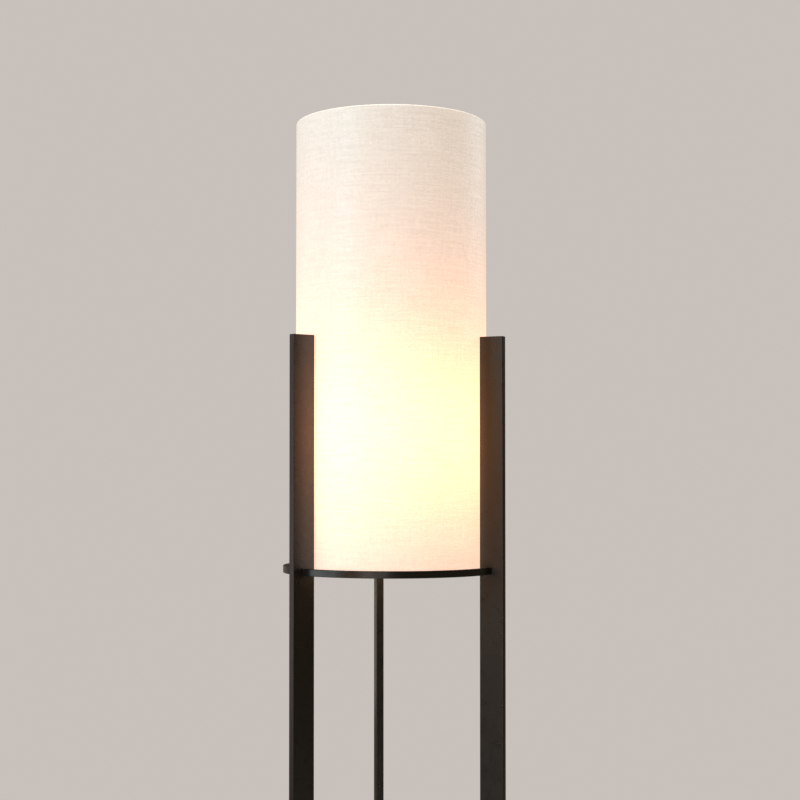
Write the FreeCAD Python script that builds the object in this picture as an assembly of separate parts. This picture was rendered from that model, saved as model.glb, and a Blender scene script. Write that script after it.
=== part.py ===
import FreeCAD, Part
import math
import os

# Column floor lamp: three upright boards hold a tall cloth cylinder by a welded ring and spokes,
# and a stem on the spokes' hub carries one bulb. Millimetres, +Z up. The origin is on the lamp's
# axis at floor level, the front of the lamp faces -Y and one board stands at the rear, on +Y.

# ---- driving dimensions: shade ----
SHADE_OUTER_R = 150.0
SHADE_HEIGHT = 700.0
CLOTH_THICKNESS = 0.6
LINER_THICKNESS = 0.4
SHADE_WIRE_R = 1.3
WIRE_CLEARANCE = 0.55          # between a wire and the cloth that is rolled round it
TUCK_HEIGHT = 4.0              # from a wire's centre to where the cloth meets the liner again
GLUE_HEIGHT = 6.0              # the end of the cloth that lies on the liner
SEAM_TAPE_WIDTH = 12.0
SEAM_TAPE_THICKNESS = 0.2
SEAM_TAPE_GLUE = 0.6           # between the tape and the liner
SEAM_TAPE_GAP = 1.0            # between the tape and the glued ends of the cloth
SHADE_REST_GAP = 0.3           # between the shade's lower edge and the spokes

# ---- driving dimensions: boards ----
REAR_BOARD_ANGLE = 90.0        # from +X; the boards stand a third of a turn apart
BOARD_TOP_Z = 1163.5
BOARD_DEPTH = 38.0             # along the radius
BOARD_THICKNESS = 12.0
BOARD_WALL = 1.2
BOARD_CORNER_R = 1.0
BOARD_INNER_CORNER_R = 0.3
BOARD_SHADE_GAP = 0.4
BOARD_CAP_THICKNESS = 1.5
BOARD_CAP_BEVEL = 0.4

# ---- driving dimensions: glides ----
GLIDE_THICKNESS = 4.0
GLIDE_BEVEL = 0.8
GLIDE_SHANK_LENGTH = 14.0
GLIDE_CLEARANCE = 0.2

# ---- driving dimensions: rings, spokes and hub ----
RING_HEIGHT = 11.0
RING_THICKNESS = 6.0
RING_STANDOFF = 13.6           # from the boards' inner edges out to the ring
RING_CORNER_R = 0.8
UPPER_RING_Z = 798.0           # underside of the ring below the shade
LOWER_RING_Z = 110.0           # underside of the ring near the floor
SPOKE_WIDTH = 10.0
SPOKE_HEIGHT = 6.0
SPOKE_WALL = 1.0
HUB_R = 20.0
HUB_WALL = 2.0
HUB_HEIGHT = 24.0
HUB_TOP_PLATE = 3.0
HUB_DROP = 5.0                 # from the spokes' underside down to the hub's rim
HUB_HOLE_CLEARANCE = 0.25
HUB_COVER_THICKNESS = 1.2
HUB_COVER_SKIRT = 5.0
HUB_COVER_CLEARANCE = 0.1

# ---- driving dimensions: cord grommet ----
GROMMET_Z = 45.0
GROMMET_BORE_R = 2.75
GROMMET_BARREL_R = 3.1
GROMMET_FLANGE_R = 4.0
GROMMET_LIP_R = 3.4
GROMMET_FLANGE_THICKNESS = 1.2
GROMMET_LIP_THICKNESS = 1.0
GROMMET_CLEARANCE = 0.05

# ---- driving dimensions: stem ----
PIPE_R = 5.0                   # M10 x 1 lamp pipe, thread drawn smooth
PIPE_BORE_R = 4.0
PIPE_TAIL = 2.5                # pipe that stands out below the hub nut
THREAD_CLEARANCE = 0.05
RISER_R = 8.0
RISER_WALL = 1.0
RISER_LENGTH = 73.5
NUT_ACROSS_FLATS = 14.0
NUT_HEIGHT = 4.0
WASHER_R = 10.0
WASHER_THICKNESS = 1.0
CHECK_RING_R = 11.0
CHECK_RING_THICKNESS = 1.5

# ---- driving dimensions: lamp holder ----
CAP_BOSS_R = 8.0
CAP_BOSS_HEIGHT = 8.5
CAP_NECK_HEIGHT = 6.0          # straight part of the boss outside
CAP_SHOULDER_HEIGHT = 14.0
CAP_LEDGE_HEIGHT = 15.0        # the shell, sleeve and switch block sit on this ledge
CAP_LEDGE_WIDTH = 3.0
CAP_HEIGHT = 22.0
CAP_WALL = 1.0
HOLDER_SHELL_R = 16.4
HOLDER_SHELL_WALL = 0.6
HOLDER_SHELL_LIP = 1.6
HOLDER_FIT = 0.1               # between the cap, the shell and the sleeve
SLEEVE_WALL = 0.8
BLOCK_CLEARANCE = 0.2
BLOCK_HEIGHT = 22.0
SCREW_SHELL_WALL = 0.35
SCREW_SHELL_FLANGE_BORE_R = 7.0
SCREW_SHELL_FLANGE_R = 13.3
BULB_THREAD_GAP = 0.2          # between the bulb's thread and the screw shell
TONGUE_THICKNESS = 0.5
TONGUE_WIDTH = 5.0
TONGUE_HEIGHT = 9.7
TONGUE_HALF_FOOT = 5.0
TONGUE_LEAN = 0.8              # how far the tongue goes sideways for each mm that it rises
BULB_CONTACT_GAP = 0.3
MOUTH_ABOVE_THREAD = 1.9       # from the end of the thread up to the shell's rim
SLEEVE_BELOW_LIP = 0.6
GRUB_SCREW_R = 1.45
GRUB_SCREW_HEIGHT = 4.0
GRUB_SCREW_CLEARANCE = 0.05
GRUB_SLOT_WIDTH = 0.5
GRUB_SLOT_DEPTH = 0.8
TERMINAL_HEAD_R = 2.8
TERMINAL_HEAD_THICKNESS = 1.6
TERMINAL_SHANK_R = 1.5
TERMINAL_SHANK_LENGTH = 4.0
TERMINAL_DEPTH = 2.7           # from the block's side in to the seat of the screw head
TERMINAL_HEIGHT = 10.0         # above the block's underside
TERMINAL_CLEARANCE = 0.4
TERMINAL_SLOT_WIDTH = 0.7
TERMINAL_SLOT_DEPTH = 0.7

# ---- driving dimensions: switch ----
SWITCH_HEIGHT = 12.0           # shaft axis above the block's underside
SWITCH_POCKET_HALF_WIDTH = 6.5
SWITCH_POCKET_TOP = 7.0        # above the shaft's axis
SWITCH_POCKET_BOTTOM = 6.5     # below the shaft's axis
SWITCH_POCKET_FRONT = 6.0      # from the holder's axis forward to the pocket's front wall
SHAFT_R = 2.0
SHAFT_RUNNING_CLEARANCE = 0.05
SHAFT_HOLE_R = 3.0             # in the holder shell and sleeve
CAM_R = 5.6
CAM_WIDTH = 5.0
CAM_FLAT = 4.4                 # from the shaft's axis to each of the four flats
CAM_END_GAP = 0.3
LEAF_THICKNESS = 0.4
LEAF_WIDTH = 6.0
LEAF_LENGTH = 14.0
KNOB_R = 7.5
KNOB_LENGTH = 12.0
KNOB_GAP = 0.8                 # between the knob and the cap
KNOB_BORE_DEPTH = 9.0
KNOB_FLUTES = 18
KNOB_FLUTE_R = 0.7
KNOB_ROUND = 1.0
KNOB_FIT = 0.03

# ---- driving dimensions: bulb ----
GLOBE_R = 30.0
BULB_LENGTH = 106.0
GLASS_THICKNESS = 0.8
NECK_R = 12.5
NECK_STRAIGHT = 1.91915        # from the base's rim up to where the neck's curve begins
GLASS_TAIL_R = 11.5            # the glass inside the screw base
GLASS_TAIL_DEPTH = 12.0
BASE_MID_R = 12.675            # E27: 26.3 mm over the crests
BASE_THREAD_HALF_DEPTH = 0.475
BASE_PITCH = 3.629             # 7 threads to the inch
BASE_THREADS = 5
BASE_BORE_R = 11.7
BASE_RIM_R = 13.0
BASE_RIM_HEIGHT = 26.0         # above the contact tip
BASE_THREAD_START = 5.0
BASE_FOOT_R = 11.6
BASE_FOOT_HEIGHT = 4.0
TIP_R = 4.5
TIP_HEIGHT = 1.6
TIP_BEVEL = 0.5
INSULATOR_LIFT = 0.8           # the insulator starts this far above the contact tip
INSULATOR_NOSE_R = 5.5
STEM_FLARE_THICKNESS = 1.2
STEM_FLARE_GAP = 0.1
STEM_TUBE_R = 3.0
STEM_TUBE_TOP = 46.0
STEM_TIP_R = 1.5
STEM_TIP_TOP = 62.0
FILAMENT_R = 0.9
FILAMENT_LENGTH = 36.0
FILAMENT_COUNT = 4
FILAMENT_CIRCLE_R = 9.0
FILAMENT_FIRST_ANGLE = 45.0
FILAMENT_BOTTOM = 54.0
FRAME_WIRE_R = 0.35

# ---- the boards' places and the heights that follow from the above ----
THIRD_OF_TURN = 360 / 3
BOARD_ANGLES = {
    "rear": REAR_BOARD_ANGLE,
    "left": REAR_BOARD_ANGLE + THIRD_OF_TURN,
    "right": REAR_BOARD_ANGLE - THIRD_OF_TURN,
}
RING_SPANS = {
    "front": REAR_BOARD_ANGLE + THIRD_OF_TURN * 3 / 2,
    "right": REAR_BOARD_ANGLE - THIRD_OF_TURN / 2,
    "left": REAR_BOARD_ANGLE + THIRD_OF_TURN / 2,
}

BOARD_INNER_R = SHADE_OUTER_R + BOARD_SHADE_GAP
BOARD_OUTER_R = BOARD_INNER_R + BOARD_DEPTH
RING_INNER_R = BOARD_INNER_R + RING_STANDOFF
RING_OUTER_R = RING_INNER_R + RING_THICKNESS

LINER_OUTER_R = SHADE_OUTER_R - CLOTH_THICKNESS
LINER_INNER_R = LINER_OUTER_R - LINER_THICKNESS
BEND_R = SHADE_WIRE_R + WIRE_CLEARANCE
ROLL_R = BEND_R + CLOTH_THICKNESS
WIRE_CIRCLE_R = SHADE_OUTER_R - ROLL_R

SPOKE_TOP_Z = UPPER_RING_Z + SPOKE_HEIGHT
SHADE_BOTTOM_Z = SPOKE_TOP_Z + SHADE_REST_GAP
SHADE_TOP_Z = SHADE_BOTTOM_Z + SHADE_HEIGHT

HUB_BOTTOM_Z = UPPER_RING_Z - HUB_DROP
HUB_TOP_Z = HUB_BOTTOM_Z + HUB_HEIGHT
HUB_CEILING_Z = HUB_TOP_Z - HUB_TOP_PLATE
RISER_TOP_Z = HUB_TOP_Z + RISER_LENGTH
HOLDER_Z = RISER_TOP_Z + CHECK_RING_THICKNESS

BLOCK_BOTTOM_Z = HOLDER_Z + CAP_LEDGE_HEIGHT
BLOCK_TOP_Z = BLOCK_BOTTOM_Z + BLOCK_HEIGHT
BULB_Z = BLOCK_TOP_Z + TONGUE_HEIGHT + BULB_CONTACT_GAP
THREAD_Z = BULB_Z + BASE_THREAD_START
THREAD_TOP_Z = THREAD_Z + BASE_THREADS * BASE_PITCH
HOLDER_MOUTH_Z = THREAD_TOP_Z + MOUTH_ABOVE_THREAD

CAP_BORE_R = HOLDER_SHELL_R + HOLDER_FIT
CAP_R = CAP_BORE_R + CAP_WALL
SLEEVE_R = HOLDER_SHELL_R - HOLDER_SHELL_WALL - HOLDER_FIT
SLEEVE_BORE_R = SLEEVE_R - SLEEVE_WALL
BLOCK_R = SLEEVE_BORE_R - BLOCK_CLEARANCE
PIPE_THREAD_BORE_R = PIPE_R + THREAD_CLEARANCE
SWITCH_Z = BLOCK_BOTTOM_Z + SWITCH_HEIGHT

NEAR = 0.01                    # how close an edge lies to a place when it is picked by that place

ORIGIN = FreeCAD.Vector(0, 0, 0)
UP = FreeCAD.Vector(0, 0, 1)
TO_REAR = FreeCAD.Vector(0, 1, 0)
TO_RIGHT = FreeCAD.Vector(1, 0, 0)


# ---- helpers ----
def box(x, y, z):
    """A box from three (low, high) pairs."""
    corner = FreeCAD.Vector(x[0], y[0], z[0])
    return Part.makeBox(x[1] - x[0], y[1] - y[0], z[1] - z[0], corner)


def post(x, y, z, corner_r):
    """A box whose four upright edges are rounded."""
    solid = box(x, y, z)
    upright = [edge for edge in solid.Edges if edge.BoundBox.ZLength > NEAR]
    return solid.makeFillet(corner_r, upright)


def disc(radius, bottom, top):
    """An upright cylinder on the lamp's axis."""
    return Part.makeCylinder(radius, top - bottom, FreeCAD.Vector(0, 0, bottom), UP)


def tube(outer_r, inner_r, bottom, top):
    """An upright tube on the lamp's axis."""
    return disc(outer_r, bottom, top).cut(disc(inner_r, bottom, top))


def turned(outline):
    """A solid turned about the lamp's axis.

    An outline is a list of corners (r, z). An item ((r, z), (r, z)) is an arc instead, which goes
    through its first point and ends at its second.
    """
    edges = []
    start = FreeCAD.Vector(outline[0][0], 0, outline[0][1])
    here = start
    for item in outline[1:]:
        if isinstance(item[0], tuple):
            via = FreeCAD.Vector(item[0][0], 0, item[0][1])
            end = FreeCAD.Vector(item[1][0], 0, item[1][1])
            edges.append(Part.Arc(here, via, end).toShape())
        else:
            end = FreeCAD.Vector(item[0], 0, item[1])
            edges.append(Part.makeLine(here, end))
        here = end
    if (here - start).Length > NEAR:
        edges.append(Part.makeLine(here, start))
    return Part.Face(Part.Wire(edges)).revolve(ORIGIN, UP, 360)


def rounded_rectangle(r, z, corner_r):
    """Outline of a rectangle with round corners, from (low, high) pairs of radius and height."""
    slant = corner_r * (1 - math.sqrt(0.5))
    return [
        (r[0] + corner_r, z[0]),
        (r[1] - corner_r, z[0]),
        ((r[1] - slant, z[0] + slant), (r[1], z[0] + corner_r)),
        (r[1], z[1] - corner_r),
        ((r[1] - slant, z[1] - slant), (r[1] - corner_r, z[1])),
        (r[0] + corner_r, z[1]),
        ((r[0] + slant, z[1] - slant), (r[0], z[1] - corner_r)),
        (r[0], z[0] + corner_r),
        ((r[0] + slant, z[0] + slant), (r[0] + corner_r, z[0])),
    ]


def thread_waves(offset):
    """Arcs of the bulb's thread going up, moved out by an offset. The rings have no lead."""
    middle = BASE_MID_R + offset
    waves = []
    for turn in range(BASE_THREADS):
        foot = THREAD_Z + turn * BASE_PITCH
        half = foot + BASE_PITCH / 2
        crest = (middle + BASE_THREAD_HALF_DEPTH, foot + BASE_PITCH / 4)
        valley = (middle - BASE_THREAD_HALF_DEPTH, half + BASE_PITCH / 4)
        waves.append((crest, (middle, half)))
        waves.append((valley, (middle, foot + BASE_PITCH)))
    return waves


def thread_waves_down(offset):
    """The same arcs from the top down."""
    waves = thread_waves(offset)
    ends = [(BASE_MID_R + offset, THREAD_Z)] + [end for via, end in waves]
    return [(waves[i][0], ends[i]) for i in reversed(range(len(waves)))]


def aim(angle):
    """The level unit vector at an angle from +X."""
    return FreeCAD.Vector(math.cos(math.radians(angle)), math.sin(math.radians(angle)), 0)


def swung(shape, angle):
    """A copy turned about the lamp's axis from +X to the given angle."""
    copy = shape.copy()
    copy.rotate(ORIGIN, UP, angle)
    return copy


def forward_cylinder(radius, back_y, front_y, height):
    """A cylinder along Y at a height on the lamp's axis, from its rear end to its front end."""
    start = FreeCAD.Vector(0, back_y, height)
    return Part.makeCylinder(radius, back_y - front_y, start, TO_REAR * -1)


def save(name, shape):
    """Write one sub-part."""
    shape.exportStep("parts/" + name + ".step")


# ---- boards ----
def board_outline(z, inset, corner_r):
    """The board's rectangle as a post on +X, drawn in by an inset on all four sides."""
    across = (BOARD_INNER_R + inset, BOARD_OUTER_R - inset)
    along = (-BOARD_THICKNESS / 2 + inset, BOARD_THICKNESS / 2 - inset)
    return post(across, along, z, corner_r)


def board():
    """A rectangular tube, open at both ends."""
    length = (GLIDE_THICKNESS, BOARD_TOP_Z - BOARD_CAP_THICKNESS)
    bore = board_outline(length, BOARD_WALL, BOARD_INNER_CORNER_R)
    return board_outline(length, 0, BOARD_CORNER_R).cut(bore)


def cord_way_into_board():
    """The slot from the rear spoke's bore through the board's inner wall."""
    width = SPOKE_WIDTH / 2 - SPOKE_WALL
    height = (UPPER_RING_Z + SPOKE_WALL, SPOKE_TOP_Z - SPOKE_WALL)
    depth = (BOARD_INNER_R - BOARD_WALL, BOARD_INNER_R + 2 * BOARD_WALL)
    return box(depth, (-width, width), height)


def cord_way_out_of_board():
    """The grommet's hole through the board's outer wall."""
    start = FreeCAD.Vector(BOARD_OUTER_R - 2 * BOARD_WALL, 0, GROMMET_Z)
    return Part.makeCylinder(GROMMET_BARREL_R + GROMMET_CLEARANCE, 3 * BOARD_WALL, start, TO_RIGHT)


def board_cap():
    """The plate that is welded on top of a board, with its upper edges broken."""
    plate = board_outline((BOARD_TOP_Z - BOARD_CAP_THICKNESS, BOARD_TOP_Z), 0, BOARD_CORNER_R)
    rim = [edge for edge in plate.Edges if edge.BoundBox.ZMin > BOARD_TOP_Z - NEAR]
    return plate.makeChamfer(BOARD_CAP_BEVEL, rim)


def glide():
    """A foot plate with a shank that fills the end of the board."""
    plate = board_outline((0, GLIDE_THICKNESS), 0, BOARD_CORNER_R)
    rim = [edge for edge in plate.Edges if edge.BoundBox.ZMax < NEAR]
    plate = plate.makeChamfer(GLIDE_BEVEL, rim)
    shank_z = (GLIDE_THICKNESS, GLIDE_THICKNESS + GLIDE_SHANK_LENGTH)
    shank = board_outline(shank_z, BOARD_WALL + GLIDE_CLEARANCE, BOARD_INNER_CORNER_R)
    return plate.fuse(shank).removeSplitter()


def grommet():
    """A snap-in bush: flange outside the wall, lip inside it, bore for the cord."""
    steps = [
        (GROMMET_FLANGE_R, BOARD_OUTER_R, BOARD_OUTER_R + GROMMET_FLANGE_THICKNESS),
        (GROMMET_BARREL_R, BOARD_OUTER_R - BOARD_WALL, BOARD_OUTER_R),
        (GROMMET_LIP_R, BOARD_OUTER_R - BOARD_WALL - GROMMET_LIP_THICKNESS, BOARD_OUTER_R - BOARD_WALL),
    ]
    solids = []
    for radius, start, end in steps:
        at = FreeCAD.Vector(start, 0, GROMMET_Z)
        solids.append(Part.makeCylinder(radius, end - start, at, TO_RIGHT))
    bush = solids[0].fuse(solids[1:]).removeSplitter()
    mouth = bush.Edges[0]
    for edge in bush.Edges:
        if edge.BoundBox.XMin > mouth.BoundBox.XMin:
            mouth = edge
    bush = bush.makeFillet(GROMMET_FLANGE_THICKNESS / 2, [mouth])
    bore_start = FreeCAD.Vector(BOARD_OUTER_R - 2 * GROMMET_LIP_R, 0, GROMMET_Z)
    return bush.cut(Part.makeCylinder(GROMMET_BORE_R, 4 * GROMMET_LIP_R, bore_start, TO_RIGHT))


def make_boards():
    for name, angle in BOARD_ANGLES.items():
        solid = board()
        if name == "rear":
            solid = solid.cut(cord_way_into_board()).cut(cord_way_out_of_board())
        save("board_" + name, swung(solid, angle))
        save("board_cap_" + name, swung(board_cap(), angle))
        save("foot_glide_" + name, swung(glide(), angle))
    save("cord_grommet", swung(grommet(), BOARD_ANGLES["rear"]))


# ---- rings, spokes and hub ----
def ring_bars(bottom):
    """A flat-bar ring cut by the three boards, as a name and a solid for each bar."""
    height = (bottom, bottom + RING_HEIGHT)
    whole = turned(rounded_rectangle((RING_INNER_R, RING_OUTER_R), height, RING_CORNER_R))
    across = (-BOARD_THICKNESS / 2, BOARD_THICKNESS / 2)
    gap = box((BOARD_INNER_R, BOARD_OUTER_R), across, (GLIDE_THICKNESS, BOARD_TOP_Z))
    for angle in BOARD_ANGLES.values():
        whole = whole.cut(swung(gap, angle))
    bars = {}
    for name, angle in RING_SPANS.items():
        bars[name] = max(whole.Solids, key=lambda bar: bar.CenterOfMass.dot(aim(angle)))
    return bars


def spoke():
    """A rectangular tube on +X from the hub's wall to the board's inner edge."""
    z = (UPPER_RING_Z, SPOKE_TOP_Z)
    outside = box((0, BOARD_INNER_R), (-SPOKE_WIDTH / 2, SPOKE_WIDTH / 2), z)
    return outside.cut(spoke_bore()).cut(disc(HUB_R, HUB_BOTTOM_Z, HUB_TOP_Z))


def spoke_bore():
    """The space inside a spoke, from the lamp's axis out to the board."""
    half = SPOKE_WIDTH / 2 - SPOKE_WALL
    return box((0, BOARD_INNER_R), (-half, half), (UPPER_RING_Z + SPOKE_WALL, SPOKE_TOP_Z - SPOKE_WALL))


def hub():
    """A cup, open below, with a hole for the pipe and a slot into the rear spoke."""
    cup = disc(HUB_R, HUB_BOTTOM_Z, HUB_TOP_Z).cut(disc(HUB_R - HUB_WALL, HUB_BOTTOM_Z, HUB_CEILING_Z))
    cup = cup.cut(disc(PIPE_R + HUB_HOLE_CLEARANCE, HUB_CEILING_Z, HUB_TOP_Z))
    return cup.cut(swung(spoke_bore(), BOARD_ANGLES["rear"]))


def hub_cover():
    """A disc with a skirt that snaps into the hub from below."""
    skirt_r = HUB_R - HUB_WALL - HUB_COVER_CLEARANCE
    plate = disc(HUB_R, HUB_BOTTOM_Z - HUB_COVER_THICKNESS, HUB_BOTTOM_Z)
    skirt = tube(skirt_r, skirt_r - HUB_COVER_THICKNESS, HUB_BOTTOM_Z, HUB_BOTTOM_Z + HUB_COVER_SKIRT)
    return plate.fuse(skirt).removeSplitter()


def make_rings_and_hub():
    for ring, bottom in (("upper", UPPER_RING_Z), ("lower", LOWER_RING_Z)):
        for name, bar in ring_bars(bottom).items():
            save(ring + "_ring_" + name, bar)
    for name, angle in BOARD_ANGLES.items():
        save("spoke_" + name, swung(spoke(), angle))
    save("hub", hub())
    save("hub_cover", hub_cover())


# ---- stem ----
def hub_nut(top):
    """A hexagon nut on the pipe."""
    corner_r = NUT_ACROSS_FLATS / 2 / math.cos(math.radians(30))
    corners = [aim(60 * i) * corner_r + UP * (top - NUT_HEIGHT) for i in range(7)]
    hexagon = Part.Face(Part.makePolygon(corners)).extrude(UP * NUT_HEIGHT)
    return hexagon.cut(disc(PIPE_THREAD_BORE_R, top - NUT_HEIGHT, top))


def make_stem():
    nut_top = HUB_CEILING_Z - WASHER_THICKNESS
    washer_bore_r = PIPE_R + HUB_HOLE_CLEARANCE
    save("hub_washer", tube(WASHER_R, washer_bore_r, nut_top, HUB_CEILING_Z))
    save("hub_nut", hub_nut(nut_top))
    pipe_bottom = nut_top - NUT_HEIGHT - PIPE_TAIL
    save("threaded_pipe", tube(PIPE_R, PIPE_BORE_R, pipe_bottom, HOLDER_Z + CAP_BOSS_HEIGHT))
    save("riser_tube", tube(RISER_R, RISER_R - RISER_WALL, HUB_TOP_Z, RISER_TOP_Z))
    save("check_ring", tube(CHECK_RING_R, washer_bore_r, RISER_TOP_Z, HOLDER_Z))


# ---- lamp holder ----
def holder_cap():
    """The cap that screws on the pipe, with a ledge inside for the rest of the holder."""
    cap = turned([
        (PIPE_THREAD_BORE_R, HOLDER_Z),
        (CAP_BOSS_R, HOLDER_Z),
        (CAP_BOSS_R, HOLDER_Z + CAP_NECK_HEIGHT),
        (CAP_R, HOLDER_Z + CAP_SHOULDER_HEIGHT),
        (CAP_R, HOLDER_Z + CAP_HEIGHT),
        (CAP_BORE_R, HOLDER_Z + CAP_HEIGHT),
        (CAP_BORE_R, BLOCK_BOTTOM_Z),
        (CAP_BORE_R - CAP_LEDGE_WIDTH, BLOCK_BOTTOM_Z),
        (CAP_BOSS_R, HOLDER_Z + CAP_BOSS_HEIGHT),
        (PIPE_THREAD_BORE_R, HOLDER_Z + CAP_BOSS_HEIGHT),
    ])
    hole_r = GRUB_SCREW_R + GRUB_SCREW_CLEARANCE
    return cap.cut(forward_cylinder(hole_r, CAP_R, 0, HOLDER_Z + GRUB_SCREW_HEIGHT))


def grub_screw():
    """The slotted screw that locks the cap on the pipe."""
    height = HOLDER_Z + GRUB_SCREW_HEIGHT
    screw = forward_cylinder(GRUB_SCREW_R, CAP_BOSS_R, PIPE_R + THREAD_CLEARANCE, height)
    slot_y = (CAP_BOSS_R - GRUB_SLOT_DEPTH, CAP_BOSS_R)
    slot_z = (height - GRUB_SLOT_WIDTH / 2, height + GRUB_SLOT_WIDTH / 2)
    return screw.cut(box((-GRUB_SCREW_R, GRUB_SCREW_R), slot_y, slot_z))


def shaft_hole():
    """The opening for the switch shaft through the shell and the sleeve."""
    return forward_cylinder(SHAFT_HOLE_R, 0, -CAP_R, SWITCH_Z)


def holder_shell():
    """The outer shell, turned in at its mouth."""
    inner_r = HOLDER_SHELL_R - HOLDER_SHELL_WALL
    lip_z = HOLDER_MOUTH_Z - HOLDER_SHELL_WALL
    shell = turned([
        (inner_r, BLOCK_BOTTOM_Z),
        (HOLDER_SHELL_R, BLOCK_BOTTOM_Z),
        (HOLDER_SHELL_R, HOLDER_MOUTH_Z),
        (inner_r - HOLDER_SHELL_LIP, HOLDER_MOUTH_Z),
        (inner_r - HOLDER_SHELL_LIP, lip_z),
        (inner_r, lip_z),
    ])
    return shell.cut(shaft_hole())


def insulating_sleeve():
    """The tube between the shell and the live parts."""
    top = HOLDER_MOUTH_Z - HOLDER_SHELL_WALL - SLEEVE_BELOW_LIP
    return tube(SLEEVE_R, SLEEVE_BORE_R, BLOCK_BOTTOM_Z, top).cut(shaft_hole())


def switch_block():
    """The moulded block: switch pocket, shaft bearing, and a seat for each terminal screw."""
    block = disc(BLOCK_R, BLOCK_BOTTOM_Z, BLOCK_TOP_Z)
    pocket_z = (SWITCH_Z - SWITCH_POCKET_BOTTOM, SWITCH_Z + SWITCH_POCKET_TOP)
    pocket_x = (-SWITCH_POCKET_HALF_WIDTH, SWITCH_POCKET_HALF_WIDTH)
    block = block.cut(box(pocket_x, (-SWITCH_POCKET_FRONT, BLOCK_R), pocket_z))
    bearing = forward_cylinder(SHAFT_R + SHAFT_RUNNING_CLEARANCE, 0, -BLOCK_R, SWITCH_Z)
    block = block.cut(bearing)
    for side in (0, 180):
        block = block.cut(swung(terminal_seat(), side))
    return block


def terminal_seat():
    """The pocket for one screw head and the hole for its shank, on +X."""
    height = BLOCK_BOTTOM_Z + TERMINAL_HEIGHT
    seat_x = BLOCK_R - TERMINAL_DEPTH
    head_at = FreeCAD.Vector(seat_x, 0, height)
    head = Part.makeCylinder(TERMINAL_HEAD_R + TERMINAL_CLEARANCE, 2 * TERMINAL_DEPTH, head_at, TO_RIGHT)
    shank_at = FreeCAD.Vector(seat_x - TERMINAL_SHANK_LENGTH, 0, height)
    shank_r = TERMINAL_SHANK_R + THREAD_CLEARANCE
    return head.fuse(Part.makeCylinder(shank_r, TERMINAL_SHANK_LENGTH, shank_at, TO_RIGHT))


def terminal_screw():
    """A cheese-head screw on +X."""
    height = BLOCK_BOTTOM_Z + TERMINAL_HEIGHT
    seat_x = BLOCK_R - TERMINAL_DEPTH
    head_at = FreeCAD.Vector(seat_x, 0, height)
    head = Part.makeCylinder(TERMINAL_HEAD_R, TERMINAL_HEAD_THICKNESS, head_at, TO_RIGHT)
    shank_at = FreeCAD.Vector(seat_x - TERMINAL_SHANK_LENGTH, 0, height)
    shank = Part.makeCylinder(TERMINAL_SHANK_R, TERMINAL_SHANK_LENGTH, shank_at, TO_RIGHT)
    head_end = seat_x + TERMINAL_HEAD_THICKNESS
    slot_x = (head_end - TERMINAL_SLOT_DEPTH, head_end)
    slot_z = (height - TERMINAL_SLOT_WIDTH / 2, height + TERMINAL_SLOT_WIDTH / 2)
    slot = box(slot_x, (-TERMINAL_HEAD_R, TERMINAL_HEAD_R), slot_z)
    return head.fuse(shank).removeSplitter().cut(slot)


def screw_shell():
    """The holder's threaded shell, with the flange that it stands on."""
    inner = BASE_MID_R + BULB_THREAD_GAP
    outer = inner + SCREW_SHELL_WALL
    outline = [
        (SCREW_SHELL_FLANGE_BORE_R, BLOCK_TOP_Z),
        (SCREW_SHELL_FLANGE_R, BLOCK_TOP_Z),
        (SCREW_SHELL_FLANGE_R, BLOCK_TOP_Z + SCREW_SHELL_WALL),
        (outer, BLOCK_TOP_Z + SCREW_SHELL_WALL),
        (outer, THREAD_Z),
    ]
    outline += thread_waves(BULB_THREAD_GAP + SCREW_SHELL_WALL)
    outline.append((inner, THREAD_TOP_Z))
    outline += thread_waves_down(BULB_THREAD_GAP)
    outline.append((inner, BLOCK_TOP_Z + SCREW_SHELL_WALL))
    outline.append((SCREW_SHELL_FLANGE_BORE_R, BLOCK_TOP_Z + SCREW_SHELL_WALL))
    return turned(outline)


def centre_contact():
    """A spring tongue folded like a Z, from the block up to just below the bulb's tip."""
    rise = TONGUE_HEIGHT
    fold = TONGUE_HALF_FOOT + 2 * TONGUE_THICKNESS
    lean = TONGUE_LEAN * (rise - TONGUE_THICKNESS)
    corners = [
        (-TONGUE_HALF_FOOT, 0),
        (fold, 0),
        (fold - lean, rise - TONGUE_THICKNESS),
        (fold - TONGUE_THICKNESS, rise - TONGUE_THICKNESS),
        (fold - TONGUE_THICKNESS, rise),
        (fold - lean - 2 * TONGUE_THICKNESS, rise),
        (fold - 2 * TONGUE_THICKNESS, TONGUE_THICKNESS),
        (-TONGUE_HALF_FOOT, TONGUE_THICKNESS),
        (-TONGUE_HALF_FOOT, 0),
    ]
    points = [FreeCAD.Vector(-TONGUE_WIDTH / 2, y, BLOCK_TOP_Z + z) for y, z in corners]
    return Part.Face(Part.makePolygon(points)).extrude(TO_RIGHT * TONGUE_WIDTH)


def make_holder():
    save("holder_cap", holder_cap())
    save("cap_grub_screw", grub_screw())
    save("holder_shell", holder_shell())
    save("insulating_sleeve", insulating_sleeve())
    save("switch_block", switch_block())
    save("screw_shell", screw_shell())
    save("centre_contact", centre_contact())
    save("terminal_screws", Part.makeCompound([swung(terminal_screw(), side) for side in (0, 180)]))


# ---- switch ----
def switch_contact():
    """The spring leaf that lies against the pocket's roof, above the cam."""
    roof = SWITCH_Z + SWITCH_POCKET_TOP
    leaf_y = (-SWITCH_POCKET_FRONT, LEAF_LENGTH - SWITCH_POCKET_FRONT)
    return box((-LEAF_WIDTH / 2, LEAF_WIDTH / 2), leaf_y, (roof - LEAF_THICKNESS, roof))


def knob_face_y():
    """Where the knob's inner face lies, in front of the cap."""
    return -CAP_R - KNOB_GAP


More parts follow.
